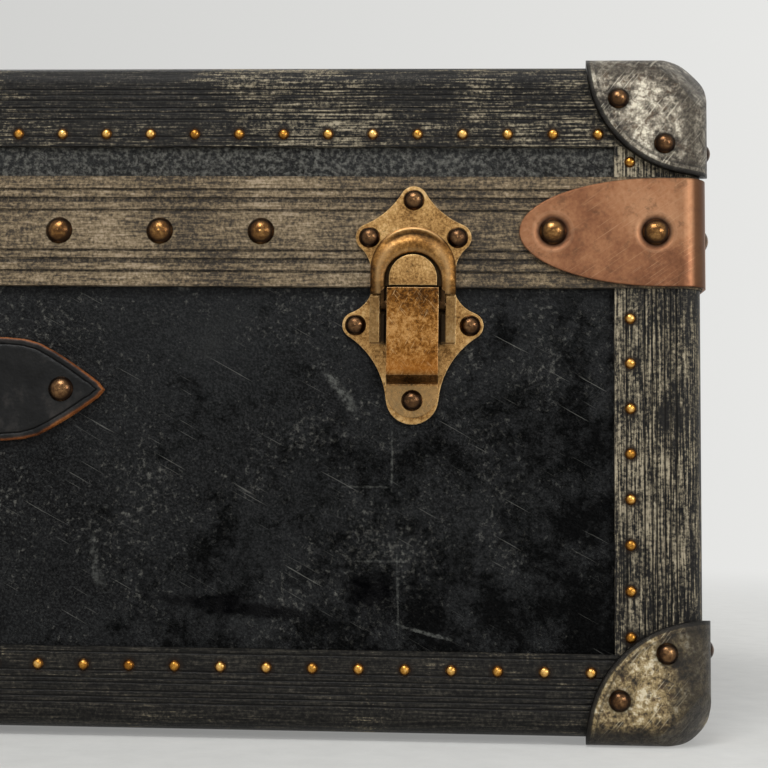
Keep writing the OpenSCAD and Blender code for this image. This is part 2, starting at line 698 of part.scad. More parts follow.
module latch_arch() {
    // Side view of the arch: outward distance and height, with a facet below and a finger lip above
    lip = [[arch_back, -arm_drop], [arch_face - 2.5, -arm_drop], [arch_face, 1.8], [arch_face, arch_top - 8.5],
        [arch_face - 1.6, arch_top - 5], [arch_face - 0.4, arch_top - 1.2], [arch_face - 0.9, arch_top],
        [arch_back, arch_top]];
    difference() {
        union() {
            intersection() {
                on_front(0, 0, arch_back) linear_extrude(arch_t) difference() {
                    union() {
                        translate([0, arch_top - arch_out_r]) circle(arch_out_r);
                        translate([-arch_out_r, -arm_drop]) square([2 * arch_out_r, arch_top - arch_out_r + arm_drop]);
                    }
                    translate([0, arch_in_top - arch_in_r]) circle(arch_in_r);
                    translate([-arch_in_r, -arm_drop - 1]) square([2 * arch_in_r, arch_in_top - arch_in_r + arm_drop + 1]);
                }
                translate([-arch_out_r, -canvas_y, 0]) rotate([90, 0, 90]) mirror([1, 0, 0])
                    linear_extrude(2 * arch_out_r) polygon(lip);
            }
            both_ends() translate([arch_in_r, -canvas_y - pin_out, -pivot_drop]) rotate([0, 90, 0]) {
                cylinder(r = barrel_r, h = tang_w);
                translate([-pivot_drop + 0.6, -barrel_r, 0]) cube([pivot_drop - 0.6, 2 * barrel_r, tang_w]);
            }
            translate([-arch_in_r - eps, -canvas_y - pin_out, -pivot_drop]) rotate([0, 90, 0])
                cylinder(r = barrel_r, h = 2 * (arch_in_r + eps));
        }
        translate([-arch_out_r, -canvas_y - pin_out, -pivot_drop]) rotate([0, 90, 0])
            cylinder(r = pin_r + run_clear, h = 2 * arch_out_r);
    }
}
module left_latch_arch() { color("#a9783f") at_line(-latch_at) latch_arch(); }
module right_latch_arch() { color("#a9783f") at_line(latch_at) latch_arch(); }

// Lock: a hasp on the lid closes over a case on the base, where a bolt slides through its staple

// Block on the front, from x0 to x1 and z0 to z1, between two distances from the canvas
module front_box(x0, x1, z0, z1, out0, out1) {
    translate([x0, -canvas_y - out1, z0]) cube([x1 - x0, out1 - out0, z1 - z0]);
}
module small_rivet(through) { dome_nail(small_rivet_r, small_rivet_h, shank_r, through + canvas_t + bite); }
module at_case_rivets() {
    for (x = [-1, 1]) for (z = [lock_rivet_top, lock_rivet_low])
        on_front(x * (lock_half + case_half) / 2, -z, plate_t) children();
}
module at_hasp_rivets() {
    for (x = [-1, 1]) {
        on_front(x * (lock_half - 4.4), 5.5, plate_on_band) children();
        on_front(x * lock_half / 2, lock_top - 5.5, plate_on_band) children();
    }
}
module lock_plate() {
    side = [[lock_half, -swing_clear], [lock_half, -lock_drop + 12], [lock_half - 8, -lock_drop + 3],
        [3, -lock_drop]];
    color("#8a7448") at_line(0) difference() {
        on_front(0, 0, 0) linear_extrude(plate_t) both_sides(side);
        at_case_rivets() rivet_hole(plate_t);
    }
}
module lock_case() {
    color("#937d50") at_line(0) difference() {
        front_box(-case_half, case_half, -case_drop, -case_top, plate_t, case_face);
        // Passage of the bolt and of its leg
        front_box(-bolt_end - 1, bolt_travel, -staple_z - bolt_half - swing_clear, -staple_z + bolt_half + swing_clear,
            plate_t - 1, bolt_front + swing_clear);
        front_box(-bolt_end - swing_clear, -bolt_end + 2 * bolt_half + bolt_travel + swing_clear,
            -knob_z - bolt_half - swing_clear, -staple_z, plate_t - 1, bolt_front + swing_clear);
        // Slots for the knob and the staple
        front_box(-knob_x - 1.6, -knob_x + bolt_travel + 1.6, -knob_z - 1.6, -knob_z + 1.6, plate_t - 1, case_face + 1);
        front_box(-staple_w / 2 - swing_clear, staple_w / 2 + swing_clear, -staple_z - staple_half - 1,
            -staple_z + staple_half + 1, plate_t - 1, case_face + 1);
        // Keyhole, and the bore for the pin of its cover
        on_front(key_x, -key_z, plate_t + 1) cylinder(r = 1.3, h = case_h);
        front_box(key_x - 0.7, key_x + 0.7, -key_z - 3.6, -key_z, plate_t + 1, case_face + 1);
        on_front(key_x, -cover_pin_z, case_face - 3.4) cylinder(r = pin_r + run_clear, h = case_h);
    }
}
module lock_rivets() { color("#6b4223") at_line(0) at_case_rivets() small_rivet(plate_t); }
module lock_upper_plate() {
    side = [[lock_half / 2, lock_top], [lock_half - 3, lock_top - 6], [lock_half, lock_top - 12], [lock_half, 0]];
    color("#8a7448") at_line(0) difference() {
        union() {
            on_front(0, 0, band_t) linear_extrude(plate_t) both_sides(side);
            both_ends() translate([hasp_half + swing_clear, -canvas_y - hasp_pin_out, hasp_pin_z]) {
                rotate([0, 90, 0]) cylinder(r = hasp_barrel_r, h = 3.4);
                translate([0, 0, -hasp_barrel_r]) cube([3.4, hasp_barrel_r + swing_clear + eps, 2 * hasp_barrel_r]);
            }
        }
        translate([-lock_half, -canvas_y - hasp_pin_out, hasp_pin_z]) rotate([0, 90, 0])
            cylinder(r = pin_r + fit_clear, h = 2 * lock_half);
        at_hasp_rivets() rivet_hole(plate_t);
    }
}
module lock_upper_rivets() { color("#6b4223") at_line(0) at_hasp_rivets() small_rivet(plate_on_band); }
module hasp_pin() {
    reach = hasp_half + swing_clear + 3.4;
    color("#6b4223") at_line(0) translate([-reach, -canvas_y - hasp_pin_out, hasp_pin_z]) rotate([0, 90, 0])
        cylinder(r = pin_r, h = 2 * reach);
}
module lock_hasp() {
    color("#9a8458") at_line(0) difference() {
        union() {
            on_front(0, 0, hasp_back) linear_extrude(hasp_t) {
                translate([-hasp_half, -hasp_drop + hasp_half])
                    square([2 * hasp_half, hasp_drop - hasp_half + hasp_pin_z]);
                translate([0, -hasp_drop + hasp_half]) circle(hasp_half);
            }
            translate([-hasp_half, -canvas_y - hasp_pin_out, hasp_pin_z]) rotate([0, 90, 0])
                cylinder(r = hasp_barrel_r, h = 2 * hasp_half);
            front_box(-staple_w / 2, staple_w / 2, -staple_z - staple_half, -staple_z + staple_half,
                plate_t + 0.4, hasp_back + eps);
        }
        translate([-hasp_half - 1, -canvas_y - hasp_pin_out, hasp_pin_z]) rotate([0, 90, 0])
            cylinder(r = pin_r + run_clear, h = 2 * hasp_half + 2);
        front_box(-staple_w, staple_w, -staple_z - bolt_half - swing_clear, -staple_z + bolt_half + swing_clear,
            bolt_back - swing_clear, bolt_front + swing_clear);
    }
}
module lock_bolt() {
    color("#8c8c86") at_line(0) {
        front_box(-bolt_end, -bolt_tip, -staple_z - bolt_half, -staple_z + bolt_half, bolt_back, bolt_front);
        front_box(-bolt_end, -bolt_end + 2 * bolt_half, -knob_z - bolt_half, -staple_z + bolt_half,
            plate_t + swing_clear, bolt_front);
        on_front(-knob_x, -knob_z, bolt_front - 1) cylinder(r = 1.3, h = 1 + case_face - bolt_front + swing_clear + 1);
        on_front(-knob_x, -knob_z, case_face + swing_clear) cylinder(r = knob_r, h = 1.8);
    }
}
module keyhole_cover() {
    color("#9a8458") at_line(0) {
        on_front(0, 0, case_face + swing_clear) linear_extrude(1) {
            translate([key_x, -cover_pin_z]) circle(2.2);
            translate([key_x, -key_z - 1]) circle(3.5);
            translate([key_x - 2.2, -key_z - 1]) square([4.4, key_z + 1 - cover_pin_z]);
        }
        on_front(key_x, -cover_pin_z, case_face - 3) cylinder(r = pin_r, h = 3 + swing_clear + 0.5);
    }
}

// Handle: leather tabs and steel sockets on the base, and a leather grip on a steel rod

module at_handle() { trunk() translate([0, 0, base_z + handle_z]) children(); }
module tab_outline() {
    k = tab_nose / 36;
    m = tab_half / 18.5;
    nose = [[0, 0], [2.2, 2.7], [7, 6.2], [12.2, 9.8], [18.5, 13.7], [23.6, 16.4], [29, 17.9], [36, 18.5]];
    up = [for (p = nose) [tab_tip - p[0] * k, p[1] * m]];
    down = [for (i = [len(nose) - 1:-1:1]) [tab_tip - nose[i][0] * k, -nose[i][1] * m]];
    polygon(concat(up, [[socket_x + 4, tab_half], [socket_x, tab_half - 4], [socket_x, -tab_half + 4],
        [socket_x + 4, -tab_half]], down));
}
module at_tab_rivets() {
    both_ends() {
        on_front(tab_rivet_x, 0, tab_t) children(0);
        on_front(tab_rivet_in, 0, tab_t + plate_t) children(1);
    }
}
module handle_tabs() {
    color("#242426") at_handle() difference() {
        both_ends() on_front(0, 0, 0) linear_extrude(tab_t) tab_outline();
        at_tab_rivets() {
            rivet_hole(tab_t);
            rivet_hole(tab_t + plate_t);
        }
    }
}
module handle_sockets() {
    color("#7a7468") at_handle() both_ends() difference() {
        union() {
            front_box(socket_x, socket_x + strap_len, -7, 7, tab_t, tab_t + plate_t);
            translate([socket_x, -canvas_y - axis_out, 0]) rotate([0, 90, 0]) cylinder(r = socket_r, h = socket_len);
            front_box(socket_x, socket_x + socket_len, -socket_r, socket_r, tab_t, axis_out);
        }
        translate([socket_x - 1, -canvas_y - axis_out, 0]) rotate([0, 90, 0])
            cylinder(r = trunnion_r + run_clear, h = socket_len + 2);
        on_front(tab_rivet_in, 0, tab_t + plate_t) rivet_hole(plate_t);
    }
}
module handle_rivets() {
    color("#5a4238") at_handle() at_tab_rivets() {
        dome_nail(tab_rivet_r, rivet_h, shank_r, tab_t + canvas_t + bite);
        dome_nail(tab_rivet_r, rivet_h, shank_r, tab_t + plate_t + canvas_t + bite);
    }
}
module handle_core() {
    lean = atan2(grip_out - axis_out, grip_drop);
    arm = norm([grip_out - axis_out, grip_drop]);
    color("#6f6a60") at_handle() {
        both_ends() translate([arm_x, -canvas_y - axis_out, 0]) {
            rotate([0, 90, 0]) cylinder(r = trunnion_r, h = socket_x + socket_len - arm_x);
            sphere(bend_r);
            rotate([180 - lean, 0, 0]) cylinder(r = trunnion_r, h = arm);
            translate([0, axis_out - grip_out, -grip_drop]) sphere(bend_r);
        }
        translate([-arm_x, -canvas_y - grip_out, -grip_drop]) rotate([0, 90, 0])
            cylinder(r = trunnion_r, h = 2 * arm_x);
    }
}
module handle_grip() {
    color("#3a2a20") at_handle() translate([-grip_half, -canvas_y - grip_out, -grip_drop]) rotate([0, 90, 0])
        difference() {
            rotate_extrude() polygon([[0, 0], [grip_r - 2, 0], [grip_r - 0.6, 2], [grip_r, 6],
                [grip_r, 2 * grip_half - 6], [grip_r - 0.6, 2 * grip_half - 2], [grip_r - 2, 2 * grip_half],
                [0, 2 * grip_half]]);
            translate([0, 0, -1]) cylinder(r = trunnion_r, h = 2 * grip_half + 2);
        }
}

// Hinges on the back

module at_hinges() { for (x = [-hinge_at, 0, hinge_at]) trunk() translate([x, canvas_y, line_z]) children(); }
// Knuckle and web between two places along a hinge; up is 1 for the lid's leaf and -1 for the base's
module knuckle(from, to, up) {
    translate([from, hinge_out, 0]) rotate([0, 90, 0]) cylinder(r = knuckle_r, h = to - from);
    low = up > 0 ? knuckle_r - plate_t : -knuckle_r;
    translate([from, up > 0 ? band_t : 0, low]) cube([to - from, hinge_out - (up > 0 ? band_t : 0), plate_t]);
}
module at_leaf_rivets(up, out) {
    for (x = [-1, 1]) for (z = [0.38, 0.8])
        translate([x * hinge_w * 0.34, out, up * z * leaf_len]) rotate([-90, 0, 0]) children();
}
module hinge_lower_leaves() {
    half = hinge_w / 2;
    color("#55524c") at_hinges() difference() {
        union() {
            translate([-half, 0, -leaf_len]) cube([hinge_w, plate_t, leaf_len - knuckle_r + plate_t]);
            both_ends() knuckle(middle_w / 2 + knuckle_gap, half, -1);
        }
        translate([-half - 1, hinge_out, 0]) rotate([0, 90, 0]) cylinder(r = hinge_pin_r + fit_clear, h = hinge_w + 2);
        at_leaf_rivets(-1, plate_t) rivet_hole(plate_t);
    }
}
module hinge_upper_leaves() {
    half = hinge_w / 2;
    start = knuckle_r + knuckle_gap;
    color("#55524c") at_hinges() difference() {
        union() {
            translate([-half, band_t, start]) cube([hinge_w, plate_t, leaf_len - start]);
            translate([-middle_w / 2, band_t, knuckle_r - plate_t]) cube([middle_w, plate_t, leaf_len - knuckle_r]);
            knuckle(-middle_w / 2, middle_w / 2, 1);
            // Stop that meets the lower leaf when the lid is fully open
            translate([-middle_w / 2, hinge_out, 0]) rotate([stop_angle, 0, 0])
                translate([0, -stop_back, -stop_len]) cube([middle_w, 3, stop_len - 0.5]);
        }
        translate([-half - 1, hinge_out, 0]) rotate([0, 90, 0]) cylinder(r = hinge_pin_r + run_clear, h = hinge_w + 2);
        at_leaf_rivets(1, plate_on_band) rivet_hole(plate_t);
    }
}
module hinge_pins() {
    color("#6b6760") at_hinges() translate([-hinge_w / 2, hinge_out, 0]) rotate([0, 90, 0])
        cylinder(r = hinge_pin_r, h = hinge_w);
}
module hinge_lower_rivets() { color("#5e4a36") at_hinges() at_leaf_rivets(-1, plate_t) rivet(plate_t); }
module hinge_upper_rivets() { color("#5e4a36") at_hinges() at_leaf_rivets(1, plate_on_band) rivet(plate_on_band); }

// Pieces to show

base_front_board();
base_back_board();
base_end_boards();
base_floor_board();
base_canvas();
base_lining();
rim_strips();
base_edge_bindings();
base_corner_posts();
base_steel_corners();
base_corner_rivets();
base_tacks();
latch_lower_plates();
latch_springs();
latch_pins();
latch_lower_rivets();
lock_plate();
lock_case();
lock_rivets();
handle_sockets();
handle_tabs();
handle_rivets();
hinge_lower_leaves();
hinge_lower_rivets();
hinge_pins();
lid_front_board();
lid_back_board();
lid_end_boards();
lid_top_board();
lid_canvas();
lid_lining();
lid_edge_bindings();
lid_corner_posts();
lid_steel_corners();
lid_corner_rivets();
lid_tacks();
lid_band();
band_nails();
band_clamps();
clamp_nails();
latch_catch_plates();
latch_catch_rivets();
hinge_upper_leaves();
hinge_upper_rivets();
lock_upper_plate();
lock_upper_rivets();
hasp_pin();
left_latch_arch();
right_latch_arch();
lock_hasp();
lock_bolt();
keyhole_cover();
handle_core();
handle_grip();
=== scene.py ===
import math

import bmesh
import bpy
import numpy as np
from mathutils import Matrix, Vector


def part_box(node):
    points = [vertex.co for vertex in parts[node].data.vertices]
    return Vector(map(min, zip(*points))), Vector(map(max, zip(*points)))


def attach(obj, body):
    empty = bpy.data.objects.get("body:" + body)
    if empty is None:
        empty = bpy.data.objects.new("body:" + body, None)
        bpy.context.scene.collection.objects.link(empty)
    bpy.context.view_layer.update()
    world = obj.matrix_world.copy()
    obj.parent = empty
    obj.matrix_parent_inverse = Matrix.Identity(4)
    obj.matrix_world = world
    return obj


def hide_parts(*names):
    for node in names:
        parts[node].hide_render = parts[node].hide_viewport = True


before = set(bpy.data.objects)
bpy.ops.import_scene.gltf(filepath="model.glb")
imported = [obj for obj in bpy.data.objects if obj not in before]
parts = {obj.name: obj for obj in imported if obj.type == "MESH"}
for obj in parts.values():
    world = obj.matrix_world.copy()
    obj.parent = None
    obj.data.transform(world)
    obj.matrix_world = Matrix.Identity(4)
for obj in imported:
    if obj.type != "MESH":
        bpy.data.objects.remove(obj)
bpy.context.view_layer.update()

# The trunk's main planes, read from the solids: the bindings' outside, the opening line and the canvas
foot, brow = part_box("base_edge_bindings"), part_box("lid_edge_bindings")
half_w, half_d = foot[1][0], (foot[1][1] - foot[0][1]) / 2
mid_y, low_z, top_z = (foot[0][1] + foot[1][1]) / 2, foot[0][2], brow[1][2]
mid_z, half_h = (low_z + top_z) / 2, (top_z - low_z) / 2
line_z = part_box("lid_band")[0][2]
canvas_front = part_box("base_canvas")[0][1]

# Boards
# The trunk is a box of planed poplar boards, nailed at the corners. They show only as a pale
# rim when the lid is up. Matt, with long straight grain and darker streaks.


def linear(code):
    """sRGB hex to linear light: c / 12.92 up to 0.04045, and ((c + 0.055) / 1.055) ^ 2.4 above it."""
    v = [int(code[i:i + 2], 16) / 255 for i in (1, 3, 5)]
    return tuple(c / 12.92 if c <= 0.04045 else ((c + 0.055) / 1.055) ** 2.4 for c in v) + (1.0,)


def fill(tree, n, links):
    """Sets a node's inputs, in order or by name, to numbers, hex colours, or what feeds them."""
    for key, value in links.items() if isinstance(links, dict) else enumerate(links):
        if isinstance(value, bpy.types.Node):
            value = value.outputs[0]
        if isinstance(value, bpy.types.NodeSocket):
            tree.links.new(value, n.inputs[key])
        else:
            n.inputs[key].default_value = linear(value) if isinstance(value, str) else value


def node(tree, kind, links=(), stops=None, **settings):
    """Adds a node. kind is its type, and after a space its operation. links are its inputs, stops a ramp's
    places and colours (hex, or a grey from 0 to 1), and settings its other properties."""
    kind, _, operation = kind.partition(" ")
    n = tree.nodes.new("ShaderNode" + kind)
    if operation:
        n.operation = operation
    for key, value in settings.items():
        setattr(n, key, value)
    fill(tree, n, links)
    if stops:
        ramp = n.color_ramp.elements
        ramp.remove(ramp[1])
        for i, (place, colour) in enumerate(stops):
            e = ramp[0] if i == 0 else ramp.new(place)
            e.position = place
            e.color = linear(colour) if isinstance(colour, str) else (colour, colour, colour, 1)
    return n


def new_finish(name):
    """Starts a material. Returns it, its tree, its shader and the point on the trunk in metres."""
    made = bpy.data.materials.new(name)
    made.use_nodes = True
    tree = made.node_tree
    tree.nodes.clear()
    shader = node(tree, "BsdfPrincipled")
    node(tree, "OutputMaterial", {"Surface": shader})
    place = node(tree, "TexCoord").outputs["Object"]
    return made, tree, shader, place


def dress(made, *names):
    """Gives a material to every slot of the named CAD nodes."""
    for name in names:
        for s in parts[name].material_slots:
            s.material = made


def planed_wood(name, pale, dark, along):
    """Grain: noise stretched about twenty times along the board, coloured pale, dark and pale again."""
    made, t, shader, place = new_finish(name)
    long = node(t, "VectorMath MULTIPLY", [place, along])
    grain = node(t, "TexNoise", {"Vector": long, "Scale": 1.0, "Detail": 6.0, "Distortion": 0.4})
    tone = node(t, "ValToRGB", [grain], stops=[(0.35, pale), (0.52, dark), (0.62, pale)])
    bump = node(t, "Bump", {"Height": grain, "Strength": 0.3, "Distance": 0.0003})
    fill(t, shader, {"Base Color": tone, "Roughness": 0.62, "Normal": bump})
    return made


poplar = planed_wood("planed_poplar", "#b08c5c", "#7c5c36", (14, 300, 300))
dress(poplar, "base_front_board", "base_back_board", "base_floor_board", "lid_front_board", "lid_back_board",
      "lid_top_board")
poplar_ends = planed_wood("planed_poplar_ends", "#ab8656", "#775731", (300, 14, 300))
dress(poplar_ends, "base_end_boards", "lid_end_boards")

# Rim strips
# Four thin strips nailed inside the rim of the base, which the closed lid slips over. Waxed
# softwood, darker and smoother than the boards from years of hands.

waxed = planed_wood("waxed_softwood", "#946c3c", "#62431f", (18, 18, 420))
fill(waxed.node_tree, waxed.node_tree.nodes["Principled BSDF"], {"Roughness": 0.42})
dress(waxed, "rim_strips")

# Paper lining
# Printed lining paper pasted on the boards inside: a plain lozenge lattice of thin brown lines
# on cream, browned by age and spotted.

paper, t, shader, place = new_finish("aged_lining_paper")
stain = node(t, "TexNoise", {"Vector": place, "Scale": 9.0, "Detail": 8.0, "Roughness": 0.6})
cream = node(t, "ValToRGB", [stain], stops=[(0.3, "#a58c5e"), (0.5, "#c2ae84"), (0.7, "#cdbc95")])
axes = node(t, "SeparateXYZ", [place])
faces = node(t, "VectorMath ABSOLUTE", [t.nodes["Texture Coordinate"].outputs["Normal"]])
faces = node(t, "SeparateXYZ", [faces])
# Two directions along each board: x and z on the front and back, y and z on the ends, x and y on the floor
on_end = node(t, "Math GREATER_THAN", [faces.outputs[0], 0.7])
on_floor = node(t, "Math GREATER_THAN", [faces.outputs[2], 0.7])
run = node(t, "Mix", {0: on_end, 2: axes.outputs[0], 3: axes.outputs[1]})
rise = node(t, "Mix", {0: on_floor, 2: axes.outputs[2], 3: axes.outputs[1]})
lines = None
for sign in (1.0, -1.0):
    # A rising or a falling line, at each height one every 14 mm, and 0.9 mm wide measured the same way
    lean = node(t, "Math MULTIPLY_ADD", [rise, sign, run])
    step = node(t, "Math WRAP", [lean, 0.014, 0.0])
    near = node(t, "Math LESS_THAN", [step, 0.0009])
    lines = near if lines is None else node(t, "Math MAXIMUM", [lines, near])
printed = node(t, "Math MULTIPLY", [lines, 0.55])
tone = node(t, "MixRGB", [printed, cream, "#7a5a3a"])
wrinkle = node(t, "TexNoise", {"Vector": place, "Scale": 40.0, "Detail": 4.0})
bump = node(t, "Bump", {"Height": wrinkle, "Strength": 0.3, "Distance": 0.001})
fill(t, shader, {"Base Color": tone, "Roughness": 0.8, "Normal": bump})
dress(paper, "base_lining", "lid_lining")

# Canvas
# Cotton canvas glued over the boards, filled and painted black, then waxed by years of polish. Near
# black, with a fine grain, grey specks where the threads' tops have lost their paint, dull scuffs,
# and two places that are rubbed to a gloss.

canvas, t, shader, place = new_finish("painted_waxed_canvas")
cloud = node(t, "TexNoise", {"Vector": place, "Scale": 16.0, "Detail": 8.0, "Roughness": 0.66})
black = node(t, "ValToRGB", [cloud],
             stops=[(0.32, "#020203"), (0.46, "#0c0d0e"), (0.60, "#151617"), (0.75, "#242524")])
# Threads' tops about 0.8 mm apart, coarser than real ones so that they show, and pores between them
pebble = node(t, "TexNoise", {"Vector": place, "Scale": 1300.0, "Detail": 2.0, "Roughness": 0.6})
grain = node(t, "MapRange", [pebble, 0.42, 0.72, 0.0, 0.42])
tone = node(t, "MixRGB", [grain, black, "#3c3d3d"])
# Worn specks about 1 mm across, thick in some places and thin in others
grit = node(t, "TexNoise", {"Vector": place, "Scale": 520.0, "Detail": 5.0, "Roughness": 0.72})
where = node(t, "TexNoise", {"Vector": place, "Scale": 24.0, "Detail": 6.0, "Roughness": 0.72})
speck = node(t, "Math MULTIPLY_ADD", [where, 0.55, grit])
speck = node(t, "MapRange", [speck, 0.86, 1.02, 0.0, 0.6])
tone = node(t, "MixRGB", [speck, tone, "#6f6e68"])
# Places where the paint is whole are deep black, more of them low down and on the right
sound = node(t, "TexNoise", {"Vector": place, "Scale": 55.0, "Detail": 9.0, "Roughness": 0.8})
slant = node(t, "VectorMath DOT_PRODUCT", [place, (0.75, 0, -1.1)]).outputs["Value"]
slant = node(t, "MapRange", [slant, -0.06, 0.16, -0.10, 0.09])
sound = node(t, "Math ADD", [sound, slant])
sound = node(t, "MapRange", [sound, 0.47, 0.60])
depth = node(t, "Math MULTIPLY", [sound, 0.8])
tone = node(t, "MixRGB", [depth, tone, "#020202"])
# The strip between the lid's binding and the band is greyer, with more dust
axes = node(t, "SeparateXYZ", [place])
dusty = node(t, "MapRange", [axes.outputs[2], line_z + 0.020, line_z + 0.030])
dust = node(t, "MapRange", [grit, 0.46, 0.66, 0.05, 0.9])
below = node(t, "MapRange", [axes.outputs[2], top_z - 0.028, top_z - 0.022, 1.0, 0.0])
dusty = node(t, "Math MULTIPLY", [dusty, below])
dust = node(t, "Math MULTIPLY", [dust, dusty])
tone = node(t, "MixRGB", [dust, tone, "#686761"])


def smudge(tree, point, middle, size, turn, wobble):
    """1 inside a turned ellipse on the front, 0 outside: the points are turned about the middle and divided
    by the half sizes, noise is added to their length, and what lies below a soft limit is inside."""
    off = node(tree, "VectorMath SUBTRACT", [point, middle])
    off = node(tree, "VectorRotate", {"Vector": off, "Angle": turn}, rotation_type="Y_AXIS")
    off = node(tree, "VectorMath MULTIPLY", [off, (1 / size[0], 20.0, 1 / size[1])])
    far = node(tree, "VectorMath LENGTH", [off]).outputs["Value"]
    far = node(tree, "Math MULTIPLY_ADD", [wobble, 3.2, far])
    return node(tree, "MapRange", [far, 2.95, 2.25])


def hairlines(tree, point, lean, stretch, limits, most, detail=2.0, rough=0.5):
    """Fine parallel scratches: the point is turned about y and stretched. Where noise on it passes from one
    limit to the other, the share grows from 0 to the most."""
    comb = node(tree, "VectorRotate", {"Vector": point, "Angle": lean}, rotation_type="Y_AXIS")
    comb = node(tree, "VectorMath MULTIPLY", [comb, stretch])
    hair = node(tree, "TexNoise", {"Vector": comb, "Scale": 1.0, "Detail": detail, "Roughness": rough})
    return node(tree, "MapRange", [hair, *limits, 0.0, most])


# Long grey scratches, which fall a little from left to right
hair = hairlines(t, place, -0.5, (35, 35, 1500), (0.69, 0.75), 0.45)
tone = node(t, "MixRGB", [hair, tone, "#777671"])
fray = node(t, "TexNoise", {"Vector": place, "Scale": 330.0, "Detail": 6.0, "Roughness": 0.8})
broken = node(t, "MapRange", [grit, 0.42, 0.58, 0.1, 1.0])
for middle, size, turn, strength in (
        ((0.1905, canvas_front, 0.1262), (0.0016, 0.0052), 0.80, 0.6),      # pale scuff beside the latch
        ((0.1955, canvas_front, 0.1195), (0.0018, 0.0060), 0.60, 0.6),
        ((0.1070, canvas_front, 0.0620), (0.0012, 0.0080), 0.10, 0.35),
        ((0.1085, canvas_front, 0.0560), (0.0016, 0.0040), 0.40, 0.3),
        ((0.2120, canvas_front, 0.0985), (0.0004, 0.0105), 0.0, 0.45),      # right-angled creases
        ((0.2035, canvas_front, 0.0885), (0.0088, 0.0004), 0.0, 0.4),
        ((0.2145, canvas_front, 0.0520), (0.0004, 0.0130), 0.03, 0.45),
        ((0.2080, canvas_front, 0.0625), (0.0070, 0.0004), 0.0, 0.4),
        ((0.2240, canvas_front, 0.0380), (0.0085, 0.0006), -0.25, 0.65)):
    mark = smudge(t, place, middle, size, turn, fray)
    mark = node(t, "Math MULTIPLY", [mark, strength])
    mark = node(t, "Math MULTIPLY", [mark, broken])
    tone = node(t, "MixRGB", [mark, tone, "#62635f"])
gloss = None
for middle, size, turn in (
        ((0.2045, canvas_front, 0.0515), (0.0080, 0.0060), 0.1),            # paint rubbed to a gloss
        ((0.1600, canvas_front, 0.0455), (0.0300, 0.0024), -0.10),
        ((0.1500, canvas_front, 0.0480), (0.0120, 0.0020), 0.1)):
    spot = smudge(t, place, middle, size, turn, fray)
    gloss = spot if gloss is None else node(t, "Math MAXIMUM", [gloss, spot])
tone = node(t, "MixRGB", [gloss, tone, "#000001"])
rough = node(t, "MapRange", [cloud, 0.35, 0.65, 0.30, 0.55])
rough = node(t, "Math MULTIPLY_ADD", [gloss, -0.15, rough])
sheen = node(t, "MapRange", [sound, 0.0, 1.0, 0.10, 0.02])
relief = node(t, "Math MULTIPLY_ADD", [grit, 0.9, pebble])
bump = node(t, "Bump", {"Height": relief, "Strength": 0.8, "Distance": 0.0004})
swell = node(t, "TexNoise", {"Vector": place, "Scale": 45.0, "Detail": 4.0})
bump = node(t, "Bump", {"Height": swell, "Strength": 0.6, "Distance": 0.0012, "Normal": bump})
fill(t, shader, {"Base Color": tone, "Roughness": rough, "Specular IOR Level": sheen, "Normal": bump})
dress(canvas, "base_canvas", "lid_canvas")

# Fibre bindings
# Angled strips of vulcanised fibre, pressed with fine lengthwise grooves, blackened and tacked on
# along every edge. Satin black, worn off in short streaks that show the khaki fibre. The level
# and the upright strips have their own materials, because grooves and streaks run along them.

# Width of the widest strips and mean width of the level ones, then the tacks' spacing, the distances of
# their rows from the trunk's edge, and where along the strips they start, as a share of the spacing
strip_width, level_width = 0.031, 0.0296
tack_pitch, post_pitch = 0.0161, 0.01588
lid_row, base_row, post_row = 0.0259, 0.0225, 0.0255
lid_phase, post_phase = -0.16, 0.5 - 0.0269 / post_pitch


